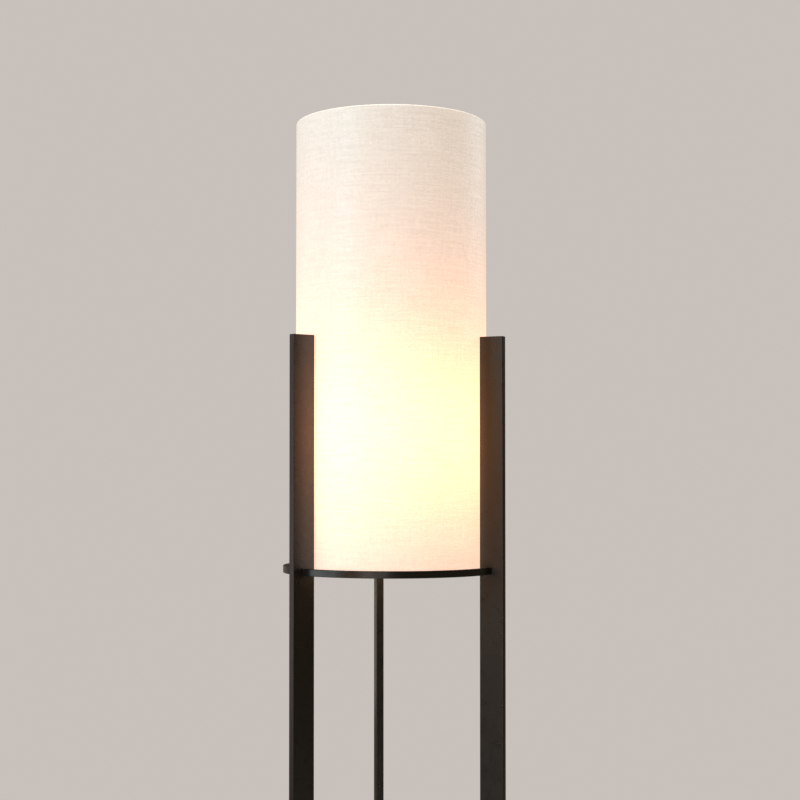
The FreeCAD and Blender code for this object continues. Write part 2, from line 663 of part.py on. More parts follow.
def switch_shaft():
    """A shaft along Y with a four-sided cam on its inner end."""
    cam_front = -SWITCH_POCKET_FRONT + CAM_END_GAP
    cam_y = (cam_front, cam_front + CAM_WIDTH)
    cam = forward_cylinder(CAM_R, cam_y[1], cam_y[0], SWITCH_Z)
    flats = box((-CAM_FLAT, CAM_FLAT), cam_y, (SWITCH_Z - CAM_FLAT, SWITCH_Z + CAM_FLAT))
    shaft = forward_cylinder(SHAFT_R, cam_front, knob_face_y() - KNOB_BORE_DEPTH, SWITCH_Z)
    return cam.common(flats).fuse(shaft).removeSplitter()


def switch_knob():
    """A fluted knob with a blind bore, rounded at its outer end."""
    face = knob_face_y()
    knob = forward_cylinder(KNOB_R, face, face - KNOB_LENGTH, SWITCH_Z)
    nose = [edge for edge in knob.Edges if edge.BoundBox.YMax < face - KNOB_LENGTH + NEAR]
    knob = knob.makeFillet(KNOB_ROUND, nose)
    for i in range(KNOB_FLUTES):
        angle = math.radians(360.0 * i / KNOB_FLUTES)
        at = FreeCAD.Vector(KNOB_R * math.cos(angle), face, SWITCH_Z + KNOB_R * math.sin(angle))
        knob = knob.cut(Part.makeCylinder(KNOB_FLUTE_R, KNOB_LENGTH, at, TO_REAR * -1))
    return knob.cut(forward_cylinder(SHAFT_R + KNOB_FIT, face, face - KNOB_BORE_DEPTH - KNOB_FIT, SWITCH_Z))


def make_switch():
    save("switch_contact", switch_contact())
    save("switch_shaft", switch_shaft())
    save("switch_knob", switch_knob())


# ---- bulb ----
def envelope_outline(inset):
    """The glass from its top down to its tail, drawn in by an inset.

    The neck's curve is the arc that leaves the globe smoothly and ends upright at NECK_R.
    """
    centre = BULB_Z + BULB_LENGTH - GLOBE_R
    globe = GLOBE_R - inset
    curve_z = BULB_Z + BASE_RIM_HEIGHT + NECK_STRAIGHT
    drop = centre - curve_z
    neck_curve = (drop ** 2 + NECK_R ** 2 - GLOBE_R ** 2) / (2 * (GLOBE_R - NECK_R))
    curve_r = NECK_R + neck_curve
    slope = math.asin(drop / (GLOBE_R + neck_curve))
    reach = neck_curve + inset
    half = slope / 2
    return [
        (0, centre + globe),
        ((globe, centre), (globe * math.cos(slope), centre - globe * math.sin(slope))),
        ((curve_r - reach * math.cos(half), curve_z + reach * math.sin(half)), (NECK_R - inset, curve_z)),
    ]


def bulb_glass():
    """The hollow envelope, stepped in where it is cemented into the base."""
    shoulder = BULB_Z + BASE_RIM_HEIGHT
    tail = shoulder - GLASS_TAIL_DEPTH
    tail_bore_r = GLASS_TAIL_R - GLASS_THICKNESS
    outer = envelope_outline(0) + [(NECK_R, shoulder), (GLASS_TAIL_R, shoulder), (GLASS_TAIL_R, tail)]
    inner = envelope_outline(GLASS_THICKNESS)
    inner += [(tail_bore_r, shoulder + GLASS_THICKNESS), (tail_bore_r, tail), (0, tail)]
    return turned(outer + [(0, tail)]).cut(turned(inner))


def bulb_base():
    """The screw base, a thin shell with a rolled thread."""
    foot = BULB_Z + BASE_FOOT_HEIGHT
    rim = BULB_Z + BASE_RIM_HEIGHT
    wall = BASE_MID_R - BASE_BORE_R
    outline = [(BASE_FOOT_R - wall, foot), (BASE_FOOT_R, foot), (BASE_MID_R, THREAD_Z)]
    outline += thread_waves(0)
    outline += [(BASE_RIM_R, THREAD_TOP_Z + (BASE_RIM_R - BASE_MID_R)), (BASE_RIM_R, rim)]
    outline += [(BASE_BORE_R, rim), (BASE_BORE_R, THREAD_Z)]
    return turned(outline)


def bulb_insulator():
    """The black glass cone between the base and the contact tip."""
    top = BULB_Z + BASE_FOOT_HEIGHT
    nose = BULB_Z + INSULATOR_LIFT
    seat = BULB_Z + TIP_HEIGHT
    cone = [(TIP_R, nose), (INSULATOR_NOSE_R, nose), (BASE_FOOT_R, top), (0, top)]
    return turned(cone + [(0, seat), (TIP_R, seat)])


def bulb_contact():
    """The contact tip in the middle of the insulator."""
    return turned([
        (0, BULB_Z),
        (TIP_R - TIP_BEVEL, BULB_Z),
        (TIP_R, BULB_Z + TIP_BEVEL),
        (TIP_R, BULB_Z + TIP_HEIGHT),
        (0, BULB_Z + TIP_HEIGHT),
    ])


def bulb_stem():
    """The glass stem: a flare that closes the tail, then a tube drawn down to a tip."""
    flare_r = GLASS_TAIL_R - GLASS_THICKNESS - STEM_FLARE_GAP
    flare_z = BULB_Z + BASE_RIM_HEIGHT - GLASS_TAIL_DEPTH
    return turned([
        (0, flare_z),
        (flare_r, flare_z),
        (flare_r, flare_z + STEM_FLARE_THICKNESS),
        (STEM_TUBE_R, flare_z + STEM_FLARE_THICKNESS),
        (STEM_TUBE_R, BULB_Z + STEM_TUBE_TOP),
        (STEM_TIP_R, BULB_Z + STEM_TIP_TOP),
        (0, BULB_Z + STEM_TIP_TOP),
    ])


def filament_angles():
    """Where the sticks stand round the bulb's axis."""
    return [FILAMENT_FIRST_ANGLE + 360 * i / FILAMENT_COUNT for i in range(FILAMENT_COUNT)]


def filaments():
    """The upright filament sticks, as a group."""
    foot = FreeCAD.Vector(FILAMENT_CIRCLE_R, 0, BULB_Z + FILAMENT_BOTTOM)
    stick = Part.makeCylinder(FILAMENT_R, FILAMENT_LENGTH, foot, UP)
    return Part.makeCompound([swung(stick, angle) for angle in filament_angles()])


def filament_arms(height):
    """Wires at one height from the bulb's axis out to each stick."""
    arm = Part.makeCylinder(FRAME_WIRE_R, FILAMENT_CIRCLE_R, FreeCAD.Vector(0, 0, height), TO_RIGHT)
    return [swung(arm, angle) for angle in filament_angles()]


def filament_frame():
    """The wire frame over the sticks: a rod on the stem's tip and an arm to each stick's top."""
    top = BULB_Z + FILAMENT_BOTTOM + FILAMENT_LENGTH + FRAME_WIRE_R
    rod = disc(FRAME_WIRE_R, BULB_Z + STEM_TIP_TOP, top)
    return rod.fuse(filament_arms(top)).removeSplitter()


def filament_leads():
    """A lead from the stem's side to each stick's foot, as a group."""
    arms = filament_arms(BULB_Z + FILAMENT_BOTTOM - FRAME_WIRE_R)
    return Part.makeCompound([arm.cut(bulb_stem()) for arm in arms])


def make_bulb():
    save("bulb_glass", bulb_glass())
    save("bulb_base", bulb_base())
    save("bulb_insulator", bulb_insulator())
    save("bulb_contact", bulb_contact())
    save("bulb_stem", bulb_stem())
    save("bulb_filaments", filaments())
    save("filament_frame", filament_frame())
    save("filament_leads", filament_leads())


# ---- shade ----
def rolled_edge(edge_z, inward, back):
    """One face of the cloth where it is rolled over an edge, from the wall to the glued end.

    inward is +1 at the bottom edge and -1 at the top edge: the way from the edge into the shade.
    back is 0 for the cloth's face side and its thickness for the side that lies on the wire.
    """
    bend = ROLL_R - back
    centre_z = edge_z + inward * ROLL_R
    lay_r = LINER_INNER_R - CLOTH_THICKNESS + back
    return [
        (WIRE_CIRCLE_R + bend, centre_z),
        ((WIRE_CIRCLE_R, centre_z - inward * bend), (WIRE_CIRCLE_R - bend, centre_z)),
        (WIRE_CIRCLE_R - bend, centre_z + inward * SHADE_WIRE_R),
        (lay_r, centre_z + inward * TUCK_HEIGHT),
        (lay_r, centre_z + inward * (TUCK_HEIGHT + GLUE_HEIGHT)),
    ]


def reversed_outline(outline):
    """The same corners and arcs in the opposite order."""
    ends = [outline[0]] + [item[1] if isinstance(item[0], tuple) else item for item in outline[1:]]
    back = [ends[-1]]
    for i in range(len(outline) - 1, 0, -1):
        item = outline[i]
        back.append((item[0], ends[i - 1]) if isinstance(item[0], tuple) else ends[i - 1])
    return back


def shade_cloth():
    """The wall of the shade and its two rolled edges, turned as one piece."""
    outline = []
    outline += reversed_outline(rolled_edge(SHADE_BOTTOM_Z, 1, 0))
    outline += rolled_edge(SHADE_TOP_Z, -1, 0)
    outline += reversed_outline(rolled_edge(SHADE_TOP_Z, -1, CLOTH_THICKNESS))
    outline += rolled_edge(SHADE_BOTTOM_Z, 1, CLOTH_THICKNESS)
    return turned(outline)


def shade_wire(edge_z, inward):
    """A steel ring inside a rolled edge."""
    centre = FreeCAD.Vector(0, 0, edge_z + inward * ROLL_R)
    return Part.makeTorus(WIRE_CIRCLE_R, SHADE_WIRE_R, centre, UP)


def shade_liner():
    """The sheet that the cloth is glued to, from wire to wire."""
    clear_of_wire = ROLL_R + BEND_R
    return tube(LINER_OUTER_R, LINER_INNER_R, SHADE_BOTTOM_Z + clear_of_wire, SHADE_TOP_Z - clear_of_wire)


def seam_tape():
    """The tape over the joint of the liner, inside the shade at the rear."""
    short = ROLL_R + TUCK_HEIGHT + GLUE_HEIGHT + SEAM_TAPE_GAP
    ends = (SHADE_BOTTOM_Z + short, SHADE_TOP_Z - short)
    outer_r = LINER_INNER_R - SEAM_TAPE_GLUE
    whole = tube(outer_r, outer_r - SEAM_TAPE_THICKNESS, ends[0], ends[1])
    strip = box((-SEAM_TAPE_WIDTH / 2, SEAM_TAPE_WIDTH / 2), (0, SHADE_OUTER_R), ends)
    return whole.common(strip)


def make_shade():
    save("shade_cloth", shade_cloth())
    save("shade_liner", shade_liner())
    save("shade_seam_tape", seam_tape())
    save("shade_bottom_wire", shade_wire(SHADE_BOTTOM_Z, 1))
    save("shade_top_wire", shade_wire(SHADE_TOP_Z, -1))


os.makedirs("parts", exist_ok=True)
make_boards()
make_rings_and_hub()
make_stem()
make_holder()
make_switch()
make_bulb()
make_shade()
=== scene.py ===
"""Looks of the column floor lamp, built in Blender 4.5 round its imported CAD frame.

Lengths are in metres in the lamp's own frame: the origin is on the lamp's axis at floor level, +Z
is up, the front of the lamp faces -Y, and one of the three boards stands at the rear, on +Y.
"""

import logging
from collections.abc import Callable, Sequence
from dataclasses import dataclass
from enum import Enum
from math import cos, hypot, pi, radians, sin, sqrt
from typing import ClassVar

import bmesh
import bpy
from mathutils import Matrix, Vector


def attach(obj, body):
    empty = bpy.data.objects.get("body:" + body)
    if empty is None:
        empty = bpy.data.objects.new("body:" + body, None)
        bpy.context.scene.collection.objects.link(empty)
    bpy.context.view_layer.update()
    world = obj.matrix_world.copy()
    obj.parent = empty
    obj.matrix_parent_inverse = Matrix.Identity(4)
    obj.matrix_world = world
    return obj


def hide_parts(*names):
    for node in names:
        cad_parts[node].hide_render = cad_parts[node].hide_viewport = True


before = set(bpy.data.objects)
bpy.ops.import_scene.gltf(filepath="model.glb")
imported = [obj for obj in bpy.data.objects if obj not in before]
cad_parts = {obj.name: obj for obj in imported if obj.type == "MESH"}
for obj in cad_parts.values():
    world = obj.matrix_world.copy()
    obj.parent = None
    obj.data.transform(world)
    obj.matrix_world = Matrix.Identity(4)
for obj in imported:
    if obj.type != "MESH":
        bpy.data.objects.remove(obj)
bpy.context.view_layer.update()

LOG = logging.getLogger("column_floor_lamp")
NOISE_LOW, NOISE_HIGH = 0.3, 0.7  # nearly all of a noise pattern lies between these
DARK = (0.0, 0.0, 0.0)

Colour = tuple[float, float, float]
Point = tuple[float, float, float]
ProfilePoint = tuple[float, float]
NodeTable = dict["Slot", tuple[str, ...]]
Socket = bpy.types.NodeSocket
Material = bpy.types.Material
Piece = bpy.types.Object


# --- node graphs


class Graph:
    """A node tree, with a method for each pattern that the finishes use."""

    def __init__(self, owner: Material | bpy.types.World) -> None:
        """Start an empty tree.

        Args:
            owner: The new material or world that it belongs to.
        """
        owner.use_nodes = True
        self.owner = owner
        self.tree = owner.node_tree
        self.tree.nodes.clear()

    def feed(self, socket: Socket, value: object) -> None:
        """Link a socket to another one, or set its plain value.

        Args:
            socket: The input.
            value: An output socket, a number, or a colour of three numbers.
        """
        if isinstance(value, Socket):
            self.tree.links.new(value, socket)
        elif isinstance(value, tuple) and socket.type == "RGBA":
            socket.default_value = (*value, 1.0)
        else:
            socket.default_value = value

    def node(self, kind: str, inputs: dict | None = None, **settings: object) -> bpy.types.Node:
        """Add a node.

        Args:
            kind: The node's type.
            inputs: Values by input name or number.
            **settings: Properties of the node.

        Returns:
            The new node.
        """
        made = self.tree.nodes.new(kind)
        for key, value in settings.items():
            setattr(made, key, value)
        for key, value in (inputs or {}).items():
            self.feed(made.inputs[key], value)
        return made

    def place(self, beside: Piece | None = None) -> Socket:
        """The point's place in metres, from the piece's own origin or from another piece's."""
        return self.node("ShaderNodeTexCoord", object=beside).outputs["Object"]

    def axes(self) -> tuple[Socket, Socket, Socket]:
        """The x, y and z of the point's place."""
        split = self.node("ShaderNodeSeparateXYZ", {0: self.place()})
        return split.outputs[0], split.outputs[1], split.outputs[2]

    def sum(self, kind: str, first: object, second: object = 0.0) -> Socket:
        """One step of arithmetic on sockets or numbers."""
        return self.node("ShaderNodeMath", {0: first, 1: second}, operation=kind).outputs[0]

    def off_axis(self) -> Socket:
        """How far the point lies from the lamp's axis."""
        x, y, _ = self.axes()
        squares = self.sum("ADD", self.sum("MULTIPLY", x, x), self.sum("MULTIPLY", y, y))
        return self.sum("SQRT", squares)

    def weighted(self, *parts: tuple[Socket, float]) -> Socket:
        """Values added up, each with its own weight."""
        total, *others = [self.sum("MULTIPLY", value, weight) for value, weight in parts]
        for other in others:
            total = self.sum("ADD", total, other)
        return total

    def round_the_axis(self, radius: float) -> Socket:
        """The place unrolled from a cylinder: along it round the axis, then up.

        Args:
            radius: The cylinder's radius.

        Returns:
            A vector in metres, whose join lies at the rear of the lamp.
        """
        x, y, z = self.axes()
        turn = self.sum("ARCTAN2", x, self.sum("MULTIPLY", y, -1.0))
        along = self.sum("MULTIPLY", turn, radius)
        return self.node("ShaderNodeCombineXYZ", {0: along, 1: z}).outputs[0]

    def scaled(self, vector: Socket, scale: Point) -> Socket:
        """A vector with each of its three numbers multiplied."""
        return self.node("ShaderNodeMapping", {"Vector": vector, "Scale": scale}).outputs[0]

    def noise(self, vector: Socket, scale: float, detail: float = 2.0,
              rough: float = 0.5) -> Socket:
        """A soft random pattern, 0.5 on average, with `scale` blots to the metre."""
        inputs = {"Vector": vector, "Scale": scale, "Detail": detail, "Roughness": rough}
        return self.node("ShaderNodeTexNoise", inputs).outputs[0]

    def grain(self, vector: Socket, counts: Point, detail: float = 2.0,
              rough: float = 0.5) -> Socket:
        """A random pattern with its own count of blots to the metre along each axis."""
        return self.noise(self.scaled(vector, counts), 1.0, detail, rough)

    def ridges(self, vector: Socket, direction: str, pitch: float, stray: float = 0.0) -> Socket:
        """Even ridges from 0 to 1 along an axis, `pitch` metres apart, that stray a little."""
        inputs = {"Vector": vector, "Scale": pi / 10 / pitch, "Distortion": stray,
                  "Detail": 1.0, "Detail Scale": 0.4}
        return self.node("ShaderNodeTexWave", inputs, bands_direction=direction).outputs["Fac"]

    def spread(self, value: Socket, low: float, high: float, to_low: float = 0.0,
               to_high: float = 1.0) -> Socket:
        """A value moved from the range low to high to another range, and held at the ends."""
        inputs = {"Value": value, "From Min": low, "From Max": high, "To Min": to_low,
                  "To Max": to_high}
        return self.node("ShaderNodeMapRange", inputs).outputs[0]

    def swing(self, pattern: Socket, low: float, high: float) -> Socket:
        """A random pattern's usual swing, moved to another range."""
        return self.spread(pattern, NOISE_LOW, NOISE_HIGH, low, high)

    def tint(self, share: object, first: object, second: object) -> Socket:
        """Two colours blended.

        Args:
            share: How much of the second, from 0 to 1.
            first: A colour or socket.
            second: Another one.

        Returns:
            The colour.
        """
        made = self.node("ShaderNodeMix", data_type="RGBA")
        for index, value in ((0, share), (6, first), (7, second)):
            self.feed(made.inputs[index], value)
        return made.outputs[2]

    def mottled(self, share: Socket, colour: Colour, first: float, second: float = 1.0) -> Socket:
        """One colour at two strengths, blended by a pattern."""
        return self.tint(share, scaled_colour(colour, first), scaled_colour(colour, second))

    def relief(self, height: Socket, depth: float, strength: float = 1.0,
               under: Socket | None = None) -> Socket:
        """Small relief on the surface.

        Args:
            height: The pattern from 0 to 1.
            depth: How deep the whole pattern is, in metres.
            strength: How much of it shows.
            under: Other relief that this one lies on.

        Returns:
            The normal.
        """
        inputs = {"Height": height, "Distance": depth, "Strength": strength}
        if under is not None:
            inputs["Normal"] = under
        return self.node("ShaderNodeBump", inputs).outputs[0]

    def surface(self, **inputs: object) -> None:
        """Finish the material with one shader.

        Args:
            **inputs: The shader's inputs, with underscores for the spaces in their names.
        """
        named = {key.replace("_", " "): value for key, value in inputs.items()}
        shader = self.node("ShaderNodeBsdfPrincipled", named)
        self.node("ShaderNodeOutputMaterial", {"Surface": shader.outputs[0]})


def scaled_colour(colour: Colour, factor: float) -> Colour:
    """A colour made lighter or darker."""
    return (colour[0] * factor, colour[1] * factor, colour[2] * factor)


# --- finishes


class Finish:
    """A finish of the lamp or of the studio's floor."""

    def material(self, name: str) -> Material:
        """Make the material under a name."""
        graph = Graph(bpy.data.materials.new(name))
        self.lay(graph)
        return graph.owner

    def lay(self, graph: Graph) -> None:
        """Lay the finish on an empty graph."""
        raise NotImplementedError


@dataclass(frozen=True)
class PowderCoat(Finish):
    """Satin black powder coat on steel: fine orange peel, and rubbed by feet and mops low down.

    Attributes:
        base: The paint's colour.
        roughness: Its average roughness.
        peel_size: From dimple to dimple.
        peel_depth: How deep the dimples are.
        scuff_top: How far up from the floor it is scuffed.
        scuffed: The colour of its scuffs.
    """

    base: Colour = (0.010, 0.0078, 0.0068)
    roughness: float = 0.30
    peel_size: float = 0.0016
    peel_depth: float = 0.00004
    scuff_top: float = 0.09
    scuffed: Colour = (0.07, 0.066, 0.06)

    def lay(self, graph: Graph) -> None:
        """Lay the finish on an empty graph."""
        place = graph.place()
        height = graph.axes()[2]
        cloud = graph.noise(place, 24.0, 4.0, 0.6)
        dust = graph.noise(place, 2600.0, 2.0, 0.6)
        low_down = graph.spread(height, self.scuff_top, 0.0)
        scratches = graph.noise(graph.scaled(place, (1.0, 1.0, 0.35)), 150.0, 5.0, 0.7)
        marks = graph.spread(scratches, 0.55, 0.72)
        scuffs = graph.sum("MULTIPLY", low_down, marks)
        paint = graph.mottled(cloud, self.base, 0.8, 1.25)
        paint = graph.tint(graph.spread(dust, 0.6, 0.8, 0.0, 0.35), paint,
                           scaled_colour(self.base, 3.0))
        paint = graph.tint(graph.sum("MULTIPLY", scuffs, 0.6), paint, self.scuffed)
        uneven = graph.swing(graph.noise(place, 90.0, 3.0), self.roughness - 0.035,
                             self.roughness + 0.045)
        peel = graph.noise(place, 1.0 / self.peel_size, 1.5, 0.4)
        graph.surface(
            Base_Color=paint,
            Roughness=graph.sum("ADD", uneven, graph.sum("MULTIPLY", scuffs, 0.25)),
            Specular_IOR_Level=0.8,
            Normal=graph.relief(peel, self.peel_depth, 0.6),
        )


@dataclass(frozen=True)
class MouldedPlastic(Finish):
    """Moulded plastic with the fine spark grain of its tool.

    Attributes:
        base: The plastic's colour.
        roughness: Its average roughness.
        grain_size: From grain to grain.
        grain_depth: How deep the grain is.
        coat: How much clear gloss lies on it.
    """

    base: Colour
    roughness: float = 0.5
    grain_size: float = 0.0005
    grain_depth: float = 0.00003
    coat: float = 0.0

    def lay(self, graph: Graph) -> None:
        """Lay the finish on an empty graph."""
        place = graph.place()
        grain = graph.noise(place, 1.0 / self.grain_size, 2.0, 0.6)
        flow = graph.noise(graph.scaled(place, (1.0, 1.0, 0.3)), 110.0, 3.0, 0.6)
        graph.surface(
            Base_Color=graph.mottled(flow, self.base, 0.82, 1.2),
            Roughness=graph.swing(flow, self.roughness - 0.05, self.roughness + 0.06),
            Coat_Weight=self.coat,
            Coat_Roughness=0.08,
            Normal=graph.relief(grain, self.grain_depth, 0.5),
        )


@dataclass(frozen=True)
class SoftRubber(Finish):
    """Dull black rubber with a pale bloom in patches."""

    base: Colour = (0.016, 0.016, 0.016)
    bloom: Colour = (0.045, 0.044, 0.042)

    def lay(self, graph: Graph) -> None:
        """Lay the finish on an empty graph."""
        place = graph.place()
        patches = graph.noise(place, 320.0, 4.0, 0.65)
        graph.surface(
            Base_Color=graph.tint(graph.spread(patches, 0.45, 0.75), self.base, self.bloom),
            Roughness=graph.swing(patches, 0.62, 0.8),
            Normal=graph.relief(graph.noise(place, 2200.0, 2.0), 0.00003, 0.6),
        )


@dataclass(frozen=True)
class WorkedMetal(Finish):
    """Bare or plated metal with the streaks that its working leaves.

    Attributes:
        base: The metal's colour.
        tarnish: The colour of its dull patches.
        roughness: Its average roughness.
        streaks: How the streaks are scaled along x, y and z.
        streak_depth: How deep they are.
    """

    base: Colour
    tarnish: Colour
    roughness: float = 0.3
    streaks: Point = (40.0, 40.0, 1800.0)
    streak_depth: float = 0.00001

    def lay(self, graph: Graph) -> None:
        """Lay the finish on an empty graph."""
        place = graph.place()
        lines = graph.grain(place, self.streaks, 3.0, 0.6)
        patches = graph.noise(place, 140.0, 4.0, 0.6)
        graph.surface(
            Base_Color=graph.tint(graph.spread(patches, 0.45, 0.8), self.base, self.tarnish),
            Metallic=1.0,
            Roughness=graph.spread(lines, 0.25, 0.75, self.roughness - 0.08, self.roughness + 0.1),
            Normal=graph.relief(lines, self.streak_depth, 0.5),
        )


@dataclass(frozen=True)
class PressedCard(Finish):
    """Tan pressed card with darker fibres."""

    base: Colour = (0.48, 0.37, 0.24)
    fibre: Colour = (0.30, 0.21, 0.12)

    def lay(self, graph: Graph) -> None:
        """Lay the finish on an empty graph."""
        fibres = graph.grain(graph.place(), (900.0, 900.0, 260.0), 4.0, 0.7)
        graph.surface(
            Base_Color=graph.tint(graph.spread(fibres, 0.4, 0.7), self.base, self.fibre),
            Roughness=graph.swing(fibres, 0.8, 0.92),
            Normal=graph.relief(fibres, 0.00005, 0.6),
        )


@dataclass(frozen=True)
class LitFrostedGlass(Finish):
    """The white frosted glass of the bulb, lit from inside by its filaments.

    Attributes:
        base: The frost's colour.
        glow: The colour of its light.
        brightness: How bright it is.
        shoulder: The height where the glow begins to fall off towards the neck.
        neck: The height where it is dimmest.
    """

    base: Colour = (0.86, 0.84, 0.78)
    glow: Colour = (1.0, 0.72, 0.42)
    brightness: float = 24.0
    shoulder: float = 0.997
    neck: float = 0.966

    def lay(self, graph: Graph) -> None:
        """Lay the finish on an empty graph."""
        place = graph.place()
        frost = graph.noise(place, 1500.0, 2.0, 0.6)
        fall = graph.spread(graph.axes()[2], self.neck, self.shoulder, 0.3, 1.0)
        speckle = graph.swing(frost, 0.94, 1.0)
        light = graph.tint(graph.sum("MULTIPLY", fall, speckle), DARK, self.glow)
        graph.surface(
            Base_Color=graph.mottled(frost, self.base, 0.96),
            Roughness=graph.swing(frost, 0.32, 0.46),
            Emission_Color=light,
            Emission_Strength=self.brightness,
            Normal=graph.relief(frost, 0.00001, 0.4),
        )


@dataclass(frozen=True)
class ClearGlass(Finish):
    """Drawn clear glass with faint waves."""

    base: Colour = (0.93, 0.96, 0.95)

    def lay(self, graph: Graph) -> None:
        """Lay the finish on an empty graph."""
        waves = graph.noise(graph.scaled(graph.place(), (1.0, 1.0, 0.3)), 260.0, 2.0)
        graph.surface(
            Base_Color=graph.mottled(waves, self.base, 0.97),
            Roughness=graph.swing(waves, 0.02, 0.06),
            Transmission_Weight=1.0,
            IOR=1.5,
            Normal=graph.relief(waves, 0.0001, 0.3),
        )


@dataclass(frozen=True)
class Phosphor(Finish):
    """The grainy yellow coating of a lit filament stick, and the light that it gives."""

    base: Colour = (0.85, 0.62, 0.18)
    glow: Colour = (1.0, 0.74, 0.4)
    brightness: float = 30.0

    def lay(self, graph: Graph) -> None:
        """Lay the finish on an empty graph."""
        grains = graph.noise(graph.place(), 3000.0, 2.0, 0.6)
        share = graph.swing(grains, 0.7, 1.0)
        graph.surface(
            Base_Color=graph.mottled(grains, self.base, 0.8),
            Roughness=graph.swing(grains, 0.6, 0.8),
            Emission_Color=graph.tint(share, DARK, self.glow),
            Emission_Strength=self.brightness,
            Normal=graph.relief(grains, 0.00004, 0.6),
        )


@dataclass(frozen=True)
class PaintedBulbGlow:
    """Painted glow for the bulb's light on the shade: strongest beside the bulb, also when the
    shade is lifted.

    Attributes:
        far: The painted glow far above and below the bulb.
        near: What the bulb adds to that painted glow at its own height.
        bulb_z: The height of the bulb's globe.
        reach: How far up or down its light has fallen to a third.
    """

    far: Colour
    near: Colour
    bulb_z: float = 1.018
    reach: float = 0.158

    def light(self, graph: Graph) -> Socket:
        """The colour of the painted glow at each height.

        Args:
            graph: The material's graph.

        Returns:
            The colour.
        """
        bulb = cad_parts["bulb_glass"]
        height = graph.node("ShaderNodeSeparateXYZ", {0: graph.place(bulb)}).outputs[2]
        off = graph.sum("DIVIDE", graph.sum("SUBTRACT", height, self.bulb_z), self.reach)
        fall = graph.sum("POWER", graph.sum("ADD", graph.sum("MULTIPLY", off, off), 1.0), -1.5)
        return graph.node("ShaderNodeVectorMath", {0: self.near, 1: fall, 2: self.far},
                          operation="MULTIPLY_ADD").outputs[0]


@dataclass(frozen=True)
class LinenWithPaintedGlow(Finish):
    """Cream linen with slubs, with a painted glow that stands in for the bulb's light through it.

    Attributes:
        base: The cloth's colour between its slubs.
        slub: The colour of its thicker threads.
        glow: The painted glow that stands in for the light through it.
        brightness: What that painted glow is multiplied by.
        wall_r: The radius of the shade's wall.
        edges: The heights of its two rolled edges.
        thread: From thread to thread.
    """

    base: Colour = (0.90, 0.86, 0.82)
    slub: Colour = (0.80, 0.75, 0.69)
    glow: PaintedBulbGlow = PaintedBulbGlow((0.210, 0.1946, 0.1725), (0.87, 0.272, 0.069))
    brightness: float = 2.4
    wall_r: float = 0.15
    edges: tuple[float, float] = (0.8043, 1.5043)
    thread: float = 0.00062

    def painted_edge_glow(self, graph: Graph) -> Socket:
        """How strong the painted glow is: painted shade where the cloth is doubled round a rolled
        edge, and a painted highlight along the outer top of each roll.

        Args:
            graph: The material's graph.

        Returns:
            The share.
        """
        # painted shade: the glow is dimmed where the cloth is turned in round a wire
        rolled = graph.spread(graph.off_axis(), self.wall_r - 0.0026, self.wall_r - 0.0014, 0.45)
        half = (self.edges[1] - self.edges[0]) / 2
        above = graph.sum("SUBTRACT", graph.axes()[2], self.edges[0] + half)
        off_middle = graph.sum("ABSOLUTE", above)
        # painted highlight: the glow is raised along the outer top of each roll
        painted_crest_highlight = graph.spread(off_middle, half - 0.0024, half - 0.0010, 1.0, 1.2)
        return graph.sum("MULTIPLY", rolled, painted_crest_highlight)

    def lay(self, graph: Graph) -> None:
        """Lay the finish on an empty graph."""
        cloth = graph.round_the_axis(self.wall_r)
        slubs = graph.grain(cloth, (170.0, 430.0, 1.0), 3.0, 0.6)
        streaks = graph.grain(cloth, (17.0, 330.0, 1.0), 2.0, 0.55)
        warp = graph.grain(cloth, (420.0, 26.0, 1.0), 2.0, 0.55)
        clouds = graph.grain(cloth, (14.0, 26.0, 1.0), 3.0, 0.6)
        across = graph.ridges(cloth, "Y", self.thread, 0.4)
        along = graph.ridges(cloth, "X", self.thread * 0.9, 0.4)
        weave = graph.sum("MAXIMUM", across, along)
        threads = graph.weighted((slubs, 0.45), (streaks, 0.33), (warp, 0.22))
        thick = graph.spread(threads, 0.41, 0.59)
        # painted glow: dimmer through thicker threads, with faint random blotches, and set by the
        # edges' painted shade and highlight
        painted_glow_share = graph.sum("MULTIPLY", graph.spread(thick, 0.0, 1.0, 1.08, 0.92),
                        graph.swing(clouds, 1.008, 0.992))
        painted_glow_share = graph.sum("MULTIPLY", painted_glow_share, self.painted_edge_glow(graph))
        # lit is the painted glow that stands in for the bulb's light through the cloth
        lit = graph.node("ShaderNodeVectorMath", {0: self.glow.light(graph), "Scale": painted_glow_share},
                         operation="SCALE").outputs[0]
        height = graph.weighted((weave, 0.45), (thick, 0.55))
        graph.surface(
            Base_Color=graph.tint(thick, self.base, self.slub),
            Roughness=graph.spread(thick, 0.0, 1.0, 0.34, 0.46),
            Specular_IOR_Level=0.5,
            Emission_Color=lit,
            Emission_Strength=self.brightness,
            Normal=graph.relief(height, 0.00022, 0.3),
        )


@dataclass(frozen=True)
class StyreneSheet(Finish):
    """The white sheet behind the cloth, with a slight gloss, the weave printed through, and a
    painted glow for the bulb's light on it.

    Attributes:
        base: The sheet's colour.
        glow: The painted glow for the bulb's light on it.
        brightness: What that painted glow is multiplied by.
        thread: From thread to thread of the cloth behind it.
        radius: The sheet's inner radius.
    """

    base: Colour = (0.84, 0.82, 0.77)
    glow: PaintedBulbGlow = PaintedBulbGlow((0.26, 0.21, 0.15), (0.9, 0.55, 0.25))
    brightness: float = 1.0
    thread: float = 0.0008
    radius: float = 0.149

    def lay(self, graph: Graph) -> None:
        """Lay the finish on an empty graph."""
        sheet = graph.round_the_axis(self.radius)
        print_through = graph.grain(sheet, (14.0, 1.0 / self.thread, 1.0))
        waves = graph.grain(sheet, (9.0, 5.0, 1.0))
        graph.surface(
            Base_Color=graph.mottled(print_through, self.base, 0.95),
            Roughness=graph.swing(waves, 0.36, 0.48),
            # painted glow for the bulb's light on the inside of the sheet
            Emission_Color=self.glow.light(graph),
            Emission_Strength=self.brightness,
            Normal=graph.relief(print_through, 0.00005, 0.4, graph.relief(waves, 0.0015, 0.3)),
        )


